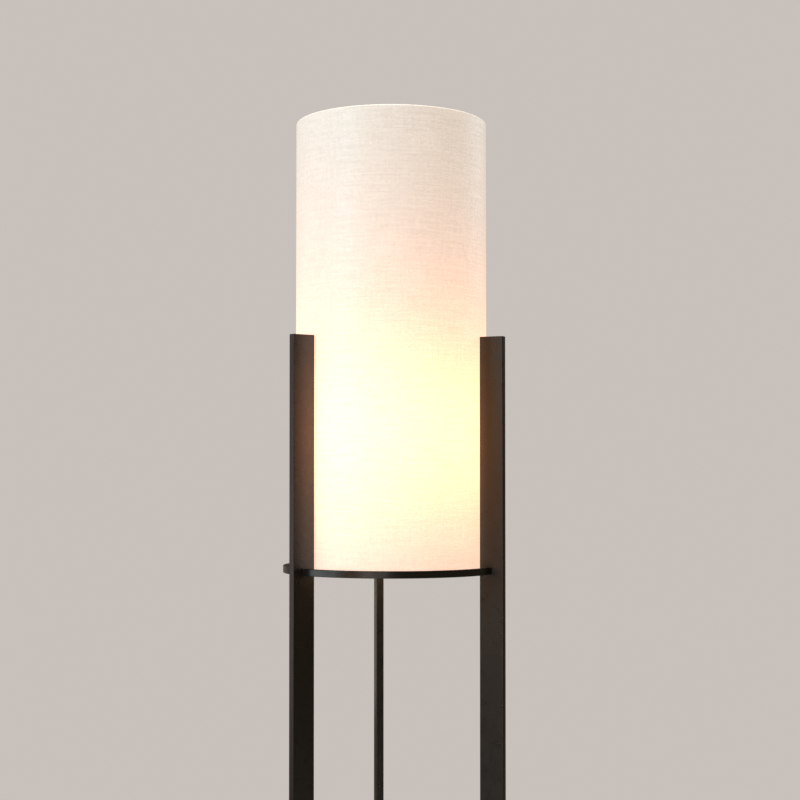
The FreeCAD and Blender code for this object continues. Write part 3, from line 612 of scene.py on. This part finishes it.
@dataclass(frozen=True)
class WhiteTape(Finish):
    """White tape, crinkled across its width."""

    base: Colour = (0.80, 0.78, 0.72)

    def lay(self, graph: Graph) -> None:
        """Lay the finish on an empty graph."""
        crinkle = graph.grain(graph.place(), (60.0, 60.0, 700.0), 3.0, 0.6)
        graph.surface(
            Base_Color=graph.mottled(crinkle, self.base, 0.94),
            Roughness=graph.swing(crinkle, 0.5, 0.66),
            Normal=graph.relief(crinkle, 0.00006, 0.6),
        )


@dataclass(frozen=True)
class PlainPaint(Finish):
    """Flat paint of the studio floor, which thins out to nothing towards its rim.

    Attributes:
        base: The paint's colour.
        solid_r: Out to this radius it is solid.
        rim_r: At this radius it has gone.
    """

    base: Colour = (0.93, 0.855, 0.83)
    solid_r: float = 1.1
    rim_r: float = 2.0

    def lay(self, graph: Graph) -> None:
        """Lay the finish on an empty graph."""
        place = graph.place()
        tooth = graph.noise(place, 700.0, 3.0, 0.6)
        cloud = graph.noise(place, 3.0, 3.0, 0.5)
        paint = graph.node("ShaderNodeBsdfPrincipled", {
            "Base Color": graph.mottled(cloud, self.base, 0.97),
            "Roughness": graph.swing(tooth, 0.7, 0.85),
            "Normal": graph.relief(tooth, 0.00005, 0.3),
        })
        ranges = {"Value": graph.off_axis(), "From Min": self.solid_r, "From Max": self.rim_r}
        fade = graph.node("ShaderNodeMapRange", ranges, interpolation_type="SMOOTHSTEP").outputs[0]
        clear = graph.node("ShaderNodeBsdfTransparent")
        mixed = graph.node("ShaderNodeMixShader", {0: fade, 1: paint.outputs[0],
                                                   2: clear.outputs[0]})
        graph.node("ShaderNodeOutputMaterial", {"Surface": mixed.outputs[0]})


class Slot(Enum):
    """The record's material slots."""

    FRAME_BLACK = "frame_black"
    GLIDE_NYLON = "glide_nylon"
    GROMMET_RUBBER = "grommet_rubber"
    PLATED_STEEL = "plated_steel"
    RISER_BLACK = "riser_black"
    HOLDER_PLASTIC = "holder_plastic"
    SLEEVE_CARD = "sleeve_card"
    BLOCK_PLASTIC = "block_plastic"
    CONTACT_BRASS = "contact_brass"
    KNOB_PLASTIC = "knob_plastic"
    BULB_GLASS = "bulb_glass"
    STEM_GLASS = "stem_glass"
    BULB_METAL = "bulb_metal"
    BULB_INSULATOR = "bulb_insulator"
    FILAMENT = "filament"
    FILAMENT_WIRE = "filament_wire"
    SHADE_LINEN = "shade_linen"
    SHADE_LINER = "shade_liner"
    SEAM_TAPE = "seam_tape"
    SHADE_WIRE = "shade_wire"


FINISHES: dict[Slot, Finish] = {
    Slot.FRAME_BLACK: PowderCoat(),
    Slot.GLIDE_NYLON: MouldedPlastic((0.018, 0.018, 0.018), 0.55, 0.0006, 0.00004),
    Slot.GROMMET_RUBBER: SoftRubber(),
    Slot.PLATED_STEEL: WorkedMetal((0.60, 0.61, 0.62), (0.42, 0.41, 0.38), 0.28),
    Slot.RISER_BLACK: PowderCoat(base=(0.014, 0.013, 0.012), roughness=0.4, peel_size=0.0011),
    Slot.HOLDER_PLASTIC: MouldedPlastic((0.014, 0.014, 0.014), 0.42),
    Slot.SLEEVE_CARD: PressedCard(),
    Slot.BLOCK_PLASTIC: MouldedPlastic((0.055, 0.022, 0.012), 0.35, 0.0007, 0.00003, 0.3),
    Slot.CONTACT_BRASS: WorkedMetal((0.76, 0.55, 0.25), (0.45, 0.30, 0.13), 0.26),
    Slot.KNOB_PLASTIC: MouldedPlastic((0.01, 0.01, 0.01), 0.22, 0.0009, 0.00001, 0.6),
    Slot.BULB_GLASS: LitFrostedGlass(),
    Slot.STEM_GLASS: ClearGlass(),
    Slot.BULB_METAL: WorkedMetal((0.72, 0.72, 0.71), (0.50, 0.50, 0.48), 0.3),
    Slot.BULB_INSULATOR: MouldedPlastic((0.008, 0.008, 0.012), 0.12, 0.002, 0.00002, 1.0),
    Slot.FILAMENT: Phosphor(),
    Slot.FILAMENT_WIRE: WorkedMetal((0.50, 0.50, 0.51), (0.30, 0.29, 0.28), 0.24,
                                    (1500.0, 1500.0, 60.0)),
    Slot.SHADE_LINEN: LinenWithPaintedGlow(),
    Slot.SHADE_LINER: StyreneSheet(),
    Slot.SEAM_TAPE: WhiteTape(),
    Slot.SHADE_WIRE: MouldedPlastic((0.74, 0.73, 0.70), 0.35, 0.001, 0.00003, 0.4),
}


class Wardrobe:
    """The lamp's materials, each made once, when a piece first needs it."""

    def __init__(self) -> None:
        """Start with no material."""
        self.made: dict[Slot, Material] = {}

    def material(self, slot: Slot) -> Material:
        """The material of a slot."""
        if slot not in self.made:
            self.made[slot] = FINISHES[slot].material(slot.value)
        return self.made[slot]

    def dress(self, piece: Piece, slot: Slot) -> None:
        """Give a piece the material of a slot, in place of any that it has."""
        piece.data.materials.clear()
        piece.data.materials.append(self.material(slot))


# --- mesh work


def smoothstep(value: float, low: float, high: float) -> float:
    """0 below a range, 1 above it, and a soft curve between."""
    share = min(max((value - low) / (high - low), 0.0), 1.0)
    return share * share * (3.0 - 2.0 * share)


def piece_from(name: str, points: Sequence[Point], faces: Sequence[Sequence[int]],
               sharp_degrees: float = 40.0) -> Piece:
    """Make a smooth-shaded mesh piece whose corners stay sharp.

    Args:
        name: The piece's name.
        points: Its points.
        faces: Its faces, as numbers of points.
        sharp_degrees: Faces that meet at more than this angle meet at a sharp edge.

    Returns:
        The piece, linked to the scene.
    """
    mesh = bpy.data.meshes.new(name)
    mesh.from_pydata(points, [], faces)
    work = bmesh.new()
    work.from_mesh(mesh)
    bmesh.ops.recalc_face_normals(work, faces=work.faces)
    work.to_mesh(mesh)
    work.free()
    mesh.shade_smooth()
    mesh.set_sharp_from_angle(angle=radians(sharp_degrees))
    piece = bpy.data.objects.new(name, mesh)
    bpy.context.scene.collection.objects.link(piece)
    return piece


def turned_piece(name: str, profile: Sequence[ProfilePoint], turns: Sequence[float],
                 place: Callable[[int, float], Point]) -> Piece:
    """Turn a closed profile about the lamp's axis.

    Args:
        name: The piece's name.
        profile: The closed profile as (r, z).
        turns: The angles of its copies, in order, once round.
        place: Gives the point for a number on the profile and an angle.

    Returns:
        The piece.
    """
    rows = len(profile)
    points = [place(row, turn) for turn in turns for row in range(rows)]
    faces = []
    for column in range(len(turns)):
        here, there = column * rows, (column + 1) % len(turns) * rows
        for row in range(rows):
            up = (row + 1) % rows
            faces.append((here + row, there + row, there + up, here + up))
    return piece_from(name, points, faces)


class Beads:
    """Weld beads gathered into one mesh."""

    SIDES: ClassVar[int] = 8
    NEARLY_ALONG: ClassVar[float] = 0.98  # a bead this much along its side needs another side
    END_SHARE: ClassVar[float] = 0.35  # how thick a bead's two ends are

    def __init__(self, radius: float, ripple: float, ripple_length: float) -> None:
        """Start with no bead.

        Args:
            radius: The bead's radius.
            ripple: How much of the radius its ripples take.
            ripple_length: From ripple to ripple.
        """
        self.radius = radius
        self.ripple = ripple
        self.ripple_length = ripple_length
        self.points: list[Point] = []
        self.faces: list[tuple[int, ...]] = []

    def run(self, path: Sequence[Vector], closed: bool) -> None:
        """Lay one bead.

        Args:
            path: Points along its middle.
            closed: Whether it ends where it starts.
        """
        first = len(self.points)
        count = len(path)
        gone = 0.0
        side = Vector((0.0, 0.0, 1.0))
        for index, point in enumerate(path):
            before = path[index - 1] if closed or index else path[index]
            after = path[(index + 1) % count] if closed or index + 1 < count else path[index]
            along = (after - before).normalized()
            if abs(along.dot(side)) > self.NEARLY_ALONG:
                side = along.orthogonal()
            across = along.cross(side).normalized()
            side = across.cross(along).normalized()
            gone += (point - path[index - 1]).length if index else 0.0
            swell = 1.0 + self.ripple * sin(2 * pi * gone / self.ripple_length)
            end = self.END_SHARE if not closed and index in (0, count - 1) else 1.0
            for step in range(self.SIDES):
                turn = 2 * pi * step / self.SIDES
                offset = across * cos(turn) + side * sin(turn)
                self.points.append(tuple(point + offset * self.radius * swell * end))
        for index in range(count if closed else count - 1):
            here, there = first + index * self.SIDES, first + (index + 1) % count * self.SIDES
            for step in range(self.SIDES):
                turn = (step + 1) % self.SIDES
                self.faces.append((here + step, here + turn, there + turn, there + step))
        if not closed:
            last = first + (count - 1) * self.SIDES
            self.faces.append(tuple(range(first, first + self.SIDES)))
            self.faces.append(tuple(range(last, last + self.SIDES)))


# --- sub-assemblies


@dataclass
class SubAssembly:
    """A group of pieces on one CAD body.

    Attributes:
        wardrobe: The lamp's materials.
    """

    BODY: ClassVar[str] = ""
    NODES: ClassVar[NodeTable] = {}

    wardrobe: Wardrobe

    def dress(self) -> None:
        """Give every CAD node of the group its material."""
        for slot, names in self.NODES.items():
            for name in names:
                self.wardrobe.dress(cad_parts[name], slot)
                LOG.info("dressed %s in %s", name, slot.value)

    def add(self, piece: Piece, slot: Slot) -> Piece:
        """Dress a new piece and let it ride on the group's body.

        Args:
            piece: The piece.
            slot: Its material slot.

        Returns:
            The same piece.
        """
        self.wardrobe.dress(piece, slot)
        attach(piece, self.BODY)
        LOG.info("built %s on %s", piece.name, self.BODY)
        return piece

    def build(self) -> None:
        """Make the pieces that the CAD doesn't hold."""


@dataclass
class BoardFrame(SubAssembly):
    """Three upright boards with their rings, spokes and hub.

    Attributes:
        bearings: Where the boards stand, in degrees from +X.
        board_inner_r: From the axis to a board's inner edge.
        board_half: Half a board's thickness.
        ring_inner_r: The rings' inner radius.
        ring_outer_r: The rings' outer radius.
        ring_height: How tall a ring is.
        ring_feet: The heights of the two rings' undersides.
        spoke_half: Half a spoke's width.
        spoke_z: The spokes' underside and top.
        hub_r: The hub's radius.
        ring_corner: How far a bead's path is rounded at a ring's corners.
        bead_r: The radius of a weld bead.
        bead_ripple: How much of that radius its ripples take.
        ring_ripple: From ripple to ripple on the rings' beads.
        spoke_ripple: From ripple to ripple on the spokes' beads.
        bead_step: From point to point along a ring's bead.
        bead_sharp: Faces of a bead that meet at more degrees than this stay sharp.
    """

    BODY: ClassVar[str] = "frame"
    NODES: ClassVar[NodeTable] = {
        Slot.FRAME_BLACK: (
            "board_rear", "board_left", "board_right",
            "board_cap_rear", "board_cap_left", "board_cap_right",
            "upper_ring_front", "upper_ring_right", "upper_ring_left",
            "lower_ring_front", "lower_ring_right", "lower_ring_left",
            "spoke_rear", "spoke_left", "spoke_right", "hub", "hub_cover",
        ),
        Slot.GLIDE_NYLON: ("foot_glide_rear", "foot_glide_left", "foot_glide_right"),
        Slot.GROMMET_RUBBER: ("cord_grommet",),
    }

    bearings: tuple[float, ...] = (90.0, 210.0, 330.0)
    board_inner_r: float = 0.1504
    board_half: float = 0.006
    ring_inner_r: float = 0.164
    ring_outer_r: float = 0.170
    ring_height: float = 0.011
    ring_feet: tuple[float, ...] = (0.798, 0.110)
    spoke_half: float = 0.005
    spoke_z: tuple[float, float] = (0.798, 0.804)
    hub_r: float = 0.02
    ring_corner: float = 0.0011
    bead_r: float = 0.0006
    bead_ripple: float = 0.16
    ring_ripple: float = 0.0019
    spoke_ripple: float = 0.0017
    bead_step: float = 0.0004
    bead_sharp: float = 70.0

    def at(self, bearing: float, out: float, aside: float, height: float) -> Vector:
        """The point at a distance out along a board, and aside from its middle."""
        turn = radians(bearing)
        return Vector((out * cos(turn) - aside * sin(turn),
                       out * sin(turn) + aside * cos(turn), height))

    def ring_bead(self, bearing: float, side: int, foot: float) -> list[Vector]:
        """The outline of a ring's end where it is welded to a board's face.

        Args:
            bearing: The board's bearing in degrees.
            side: -1 or 1, for the board's two faces.
            foot: The height of the ring's underside.

        Returns:
            Points once round the outline.
        """
        corner, steps = self.ring_corner, 5
        near, far = self.ring_inner_r + corner, self.ring_outer_r - corner
        low, high = foot + corner, foot + self.ring_height - corner
        corners = ((far, high, 0.0), (near, high, 90.0), (near, low, 180.0), (far, low, 270.0))
        outline = []
        for out, height, start in corners:
            for step in range(steps + 1):
                turn = radians(start + 90.0 * step / steps)
                outline.append((out + corner * cos(turn), height + corner * sin(turn)))
        path = []
        for index, (out, height) in enumerate(outline):
            next_out, next_height = outline[(index + 1) % len(outline)]
            length = hypot(next_out - out, next_height - height)
            pieces = max(1, round(length / self.bead_step))
            for step in range(pieces):
                share = step / pieces
                here = out + (next_out - out) * share, height + (next_height - height) * share
                path.append(self.at(bearing, here[0], side * self.board_half, here[1]))
        return path

    def spoke_beads(self, bearing: float) -> list[list[Vector]]:
        """The beads over and under a spoke, at the board and at the hub.

        Args:
            bearing: The spoke's bearing in degrees.

        Returns:
            One path for each bead.
        """
        paths = []
        half_steps = 12
        asides = [self.spoke_half * (step / half_steps - 1.0) for step in range(2 * half_steps + 1)]
        for height in self.spoke_z:
            paths.append([self.at(bearing, self.board_inner_r, aside, height)
                          for aside in asides])
            paths.append([self.at(bearing, sqrt(self.hub_r ** 2 - aside ** 2), aside, height)
                          for aside in asides])
        return paths

    def build(self) -> None:
        """Lay the weld beads of the rings and the spokes."""
        ring_beads = Beads(self.bead_r, self.bead_ripple, self.ring_ripple)
        spoke_beads = Beads(self.bead_r, self.bead_ripple, self.spoke_ripple)
        for bearing in self.bearings:
            for foot in self.ring_feet:
                for side in (-1, 1):
                    ring_beads.run(self.ring_bead(bearing, side, foot), True)
            for path in self.spoke_beads(bearing):
                spoke_beads.run(path, False)
        for name, beads in (("ring_weld_beads", ring_beads), ("spoke_weld_beads", spoke_beads)):
            self.add(piece_from(name, beads.points, beads.faces, self.bead_sharp),
                     Slot.FRAME_BLACK)


@dataclass
class Stem(SubAssembly):
    """The pipe and riser that carry the lamp holder."""

    BODY: ClassVar[str] = "frame"
    NODES: ClassVar[NodeTable] = {
        Slot.PLATED_STEEL: ("hub_washer", "hub_nut", "threaded_pipe", "check_ring"),
        Slot.RISER_BLACK: ("riser_tube",),
    }


@dataclass
class LampHolder(SubAssembly):
    """The holder with its contacts."""

    BODY: ClassVar[str] = "frame"
    NODES: ClassVar[NodeTable] = {
        Slot.PLATED_STEEL: ("cap_grub_screw",),
        Slot.HOLDER_PLASTIC: ("holder_cap", "holder_shell"),
        Slot.SLEEVE_CARD: ("insulating_sleeve",),
        Slot.BLOCK_PLASTIC: ("switch_block",),
        Slot.CONTACT_BRASS: ("screw_shell", "centre_contact", "terminal_screws",
                             "switch_contact"),
    }


@dataclass
class RotarySwitch(SubAssembly):
    """The switch's shaft and knob."""

    BODY: ClassVar[str] = "switch"
    NODES: ClassVar[NodeTable] = {
        Slot.PLATED_STEEL: ("switch_shaft",),
        Slot.KNOB_PLASTIC: ("switch_knob",),
    }


@dataclass
class Bulb(SubAssembly):
    """The screw-in bulb with four filament sticks."""

    BODY: ClassVar[str] = "bulb"
    NODES: ClassVar[NodeTable] = {
        Slot.BULB_GLASS: ("bulb_glass",),
        Slot.STEM_GLASS: ("bulb_stem",),
        Slot.BULB_METAL: ("bulb_base", "bulb_contact"),
        Slot.BULB_INSULATOR: ("bulb_insulator",),
        Slot.FILAMENT: ("bulb_filaments",),
        Slot.FILAMENT_WIRE: ("filament_frame", "filament_leads"),
    }


@dataclass
class Shade(SubAssembly):
    """The tall cylinder of linen on its white sheet, rolled over a wire at each end.

    Attributes:
        outer_r: The cloth's radius.
        bottom_z: The height of its lower edge.
        top_z: The height of its upper edge.
        cloth: The cloth's thickness.
        roll_r: The radius of a rolled edge.
        wire_r: The radius of the wire inside it.
        liner_r: The inner radius of the white sheet.
        tuck: From a wire's middle to where the cloth meets the sheet again.
        glued: The height of the cloth's end that lies on the sheet.
        lap_half: Half the width of the lapped seam at the rear.
        lap_lift: How far the lap stands out.
        lap_slope: How wide the slope up to the lap is beside it.
        slope_end: How far the slope goes on over the lap.
        fold: How wide the lap's folded edge is.
        glue: The glue under the cloth's end.
        pucker: How deep the tucked cloth is puckered.
        waver: How far its end wavers up and down.
        columns: How many steps go round the shade.
        row: The height of a step up the wall.
        roll_steps: How many steps go half round a wire.
        glued_steps: How many go along the cloth's end.
    """

    BODY: ClassVar[str] = "shade"
    NODES: ClassVar[NodeTable] = {
        Slot.SHADE_LINER: ("shade_liner",),
        Slot.SEAM_TAPE: ("shade_seam_tape",),
        Slot.SHADE_WIRE: ("shade_bottom_wire", "shade_top_wire"),
    }
    REAR: ClassVar[float] = pi / 2
    # How far beside the lap's middle the close columns stand.
    LAP_COLUMNS: ClassVar[tuple[float, ...]] = (-0.0082, -0.0072, -0.0062, -0.0054, -0.0049,
                                                0.0044, 0.0047, 0.0049, 0.0051)
    COLUMN_GAP: ClassVar[float] = 0.004  # least angle from a close column to an even one

    outer_r: float = 0.150
    bottom_z: float = 0.8043
    top_z: float = 1.5043
    cloth: float = 0.00055
    roll_r: float = 0.00245
    wire_r: float = 0.0013
    liner_r: float = 0.149
    tuck: float = 0.004
    glued: float = 0.006
    lap_half: float = 0.005
    lap_lift: float = 0.0002
    lap_slope: float = 0.0032
    slope_end: float = 0.0002
    fold: float = 0.0005
    glue: float = 0.00005
    pucker: float = 0.00009
    waver: float = 0.00022
    columns: int = 288
    row: float = 0.012
    roll_steps: int = 12
    glued_steps: int = 4

    def edge_path(self, edge_z: float, inward: int, back: float) -> list[ProfilePoint]:
        """One face of the cloth from the wall round a rolled edge to its glued end.

        Args:
            edge_z: The height of the edge.
            inward: 1 at the lower edge and -1 at the upper one.
            back: 0 for the face side, or the cloth's thickness for its back.

        Returns:
            Points as (r, z).
        """
        circle_r = self.outer_r - self.roll_r
        middle = edge_z + inward * self.roll_r
        bend = self.roll_r - back
        path = []
        for step in range(self.roll_steps + 1):
            turn = pi * step / self.roll_steps
            path.append((circle_r + bend * cos(turn), middle - inward * bend * sin(turn)))
        lay_r = self.liner_r - self.glue - self.cloth + back
        path.append((circle_r - bend, middle + inward * self.wire_r))
        for step in range(self.glued_steps + 1):
            down = self.tuck + self.glued * step / self.glued_steps
            path.append((lay_r, middle + inward * down))
        return path

    def profile(self) -> list[ProfilePoint]:
        """The cloth's closed profile, face side first, from the lower glued end."""
        low, high = self.bottom_z + self.roll_r, self.top_z - self.roll_r
        rows = round((high - low) / self.row)
        between = [low + (high - low) * step / rows for step in range(1, rows)]
        face = self.edge_path(self.bottom_z, 1, 0.0)[::-1]
        face += [(self.outer_r, height) for height in between]
        face += self.edge_path(self.top_z, -1, 0.0)
        back = self.edge_path(self.top_z, -1, self.cloth)[::-1]
        back += [(self.outer_r - self.cloth, height) for height in reversed(between)]
        back += self.edge_path(self.bottom_z, 1, self.cloth)
        return face + back

    def turns(self) -> list[float]:
        """The angles of the profile's copies, with close ones at the lap's two edges."""
        even = [2 * pi * step / self.columns for step in range(self.columns)]
        close = [self.REAR + aside / self.outer_r for aside in self.LAP_COLUMNS]
        kept = [turn for turn in even
                if all(abs(turn - other) > self.COLUMN_GAP for other in close)]
        return sorted(kept + close)

    def lap(self, turn: float) -> float:
        """How far the seam lifts the cloth: a soft slope on one side, a fold on the other."""
        aside = (turn - self.REAR) * self.outer_r
        slope = smoothstep(aside, -self.lap_half - self.lap_slope, -self.lap_half + self.slope_end)
        fold = 1.0 - smoothstep(aside, self.lap_half - self.fold, self.lap_half)
        return self.lap_lift * min(slope, fold)

    def cloth_piece(self) -> Piece:
        """Build the cloth, with its lap at the rear and puckers where it is tucked in."""
        profile = self.profile()
        half = len(profile) // 2
        middle = (self.bottom_z + self.top_z) / 2
        plain_half = (self.top_z - self.bottom_z) / 2 - self.roll_r - self.wire_r

        def place(row: int, turn: float) -> Point:
            """The point for a place on the profile and an angle."""
            out, height = profile[row]
            if row < half and out > self.outer_r - self.roll_r:
                out += self.lap(turn)
            if out < self.liner_r and abs(height - middle) < plain_half:
                wander = sin(61 * turn + 2.2 * sin(5 * turn)) + 0.6 * sin(97 * turn)
                if row < half:
                    out -= self.pucker * (1.6 + wander)
                upper = 1.0 if height > middle else -1.0
                height += upper * self.waver * (sin(23 * turn + 1.3) + sin(37 * turn))
            return (out * cos(turn), out * sin(turn), height)

        return turned_piece("shade_cloth_linen", profile, self.turns(), place)

    def build(self) -> None:
        """Make the cloth, which stands for the plain CAD one."""
        cloth = self.add(self.cloth_piece(), Slot.SHADE_LINEN)
        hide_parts("shade_cloth")


# --- studio


@dataclass(frozen=True)
class Softbox:
    """One soft light.

    Attributes:
        name: Its name.
        bearing: Where it stands, in degrees from the lamp's front towards its left.
        distance: How far from the lamp's axis.
        height: The height of its middle.
        size: Its width and height.
        power: Its power in watts.
        colour: Its colour.
        aim_z: The height on the lamp's axis that it faces.
    """

    name: str
    bearing: float
    distance: float
    height: float
    size: tuple[float, float]
    power: float
    colour: Colour
    aim_z: float = 1.0

    def build(self) -> None:
        """Put the light in the scene."""
        light = bpy.data.lights.new(self.name, "AREA")
        light.shape = "RECTANGLE"
        light.size, light.size_y = self.size
        light.energy = self.power
        light.color = self.colour
        box = bpy.data.objects.new(self.name, light)
        turn = radians(self.bearing)
        box.location = (-self.distance * sin(turn), -self.distance * cos(turn),
                        self.height)
        away = box.location - Vector((0.0, 0.0, self.aim_z))
        box.rotation_euler = away.to_track_quat("Z", "Y").to_euler()
        bpy.context.scene.collection.objects.link(box)


@dataclass(frozen=True)
class Studio:
    """The floor, the lights, the background and the camera.

    Attributes:
        camera_at: Where the camera stands.
        camera_yaw: How far it turns from +Y towards -X, in degrees.
        camera_pitch: How far it looks up, in degrees.
        lens: Its focal length in millimetres on a 36 mm sensor.
        shift: The lens shift.
        backdrop: The colour behind the lamp.
        ambient: The light from all round.
        floor_r: The floor's radius.
        floor_z: Its height, a hair below the glides.
        floor_steps: How many steps go round it.
        floor_rings: How many rings of faces it has.
        boxes: The soft lights.
    """

    camera_at: Point = (-0.3083, -2.4969, 0.9539)
    camera_yaw: float = -7.357
    camera_pitch: float = 1.177
    lens: float = 71.685
    shift: tuple[float, float] = (0.0, 0.05)
    backdrop: Colour = (0.58, 0.53, 0.495)
    ambient: Colour = (0.097, 0.075, 0.044)
    floor_r: float = 2.05
    floor_z: float = -0.0003
    floor_steps: int = 96
    floor_rings: int = 8
    boxes: tuple[Softbox, ...] = (
        Softbox("window_light", 61.0, 2.7, 1.94, (0.66, 1.3), 17.3, (0.341, 0.766, 1.0)),
        Softbox("left_light", 83.0, 2.4, 0.75, (1.75, 0.7), 5.7, (0.872, 1.0, 0.959), 0.8),
        Softbox("front_light", 26.0, 2.9, 0.45, (1.45, 0.5), 5.2, (1.0, 0.83, 0.763), 0.8),
        Softbox("warm_light", 50.0, 2.4, 1.15, (0.7, 0.7), 2.5, (1.0, 0.36, 0.02)),
        Softbox("right_light", -116.0, 2.4, 2.15, (1.2, 1.2), 7.3, (0.649, 0.85, 1.0)),
        Softbox("wall_light", 118.0, 2.5, 1.1, (1.0, 2.0), 3.2, (1.0, 0.76, 0.808)),
        Softbox("rear_light", 160.0, 2.6, 0.9, (1.4, 1.4), 1.4, (1.0, 0.95, 0.88)),
        Softbox("top_light", 20.0, 0.1, 3.3, (1.6, 1.6), 28.0, (1.0, 0.97, 0.93), 0.0),
    )

    def floor(self) -> None:
        """Build the round floor."""
        count, rings = self.floor_steps, self.floor_rings
        points: list[Point] = [(0.0, 0.0, self.floor_z)]
        for ring in range(1, rings + 1):
            radius = self.floor_r * ring / rings
            for step in range(count):
                turn = 2 * pi * step / count
                points.append((radius * cos(turn), radius * sin(turn), self.floor_z))
        faces: list[tuple[int, ...]] = []
        for step in range(count):
            after = (step + 1) % count
            faces.append((0, 1 + step, 1 + after))
            for ring in range(rings - 1):
                here, there = 1 + ring * count, 1 + (ring + 1) * count
                faces.append((here + step, there + step, there + after, here + after))
        floor = piece_from("studio_floor", points, faces)
        floor.data.materials.append(PlainPaint().material("floor_paint"))

    def world(self) -> None:
        """Set the even background and the light from all round."""
        world = bpy.data.worlds.new("studio")
        graph = Graph(world)
        ray = graph.node("ShaderNodeLightPath").outputs["Is Camera Ray"]
        seen = graph.node("ShaderNodeBackground", {0: self.backdrop}).outputs[0]
        unseen = graph.node("ShaderNodeBackground", {0: self.ambient}).outputs[0]
        mixed = graph.node("ShaderNodeMixShader", {0: ray, 1: unseen, 2: seen}).outputs[0]
        graph.node("ShaderNodeOutputWorld", {0: mixed})
        bpy.context.scene.world = world

    def camera(self) -> None:
        """Put the camera where the photograph was taken from."""
        data = bpy.data.cameras.new("photo_camera")
        data.sensor_width = 36.0
        data.lens = self.lens
        data.shift_x, data.shift_y = self.shift
        data.clip_start, data.clip_end = 0.05, 50.0
        camera = bpy.data.objects.new("photo_camera", data)
        camera.location = self.camera_at
        camera.rotation_euler = (radians(90.0 + self.camera_pitch), 0.0,
                                 radians(self.camera_yaw))
        bpy.context.scene.collection.objects.link(camera)
        bpy.context.scene.camera = camera

    def build(self) -> None:
        """Set up everything round the lamp."""
        self.floor()
        self.world()
        self.camera()
        for box in self.boxes:
            box.build()
            LOG.info("lit %s", box.name)
        view = bpy.context.scene.view_settings
        view.view_transform = "Standard"
        view.look = "None"


def main() -> None:
    """Build and dress the lamp from its frame outwards, then set up the studio."""
    logging.basicConfig(level=logging.INFO, format="%(name)s: %(message)s")
    wardrobe = Wardrobe()
    for group in (BoardFrame(wardrobe), Stem(wardrobe), LampHolder(wardrobe),
                  RotarySwitch(wardrobe), Bulb(wardrobe), Shade(wardrobe)):
        group.dress()
        group.build()
        LOG.info("finished %s", type(group).__name__)
    Studio().build()


if __name__ == "__main__":
    main()
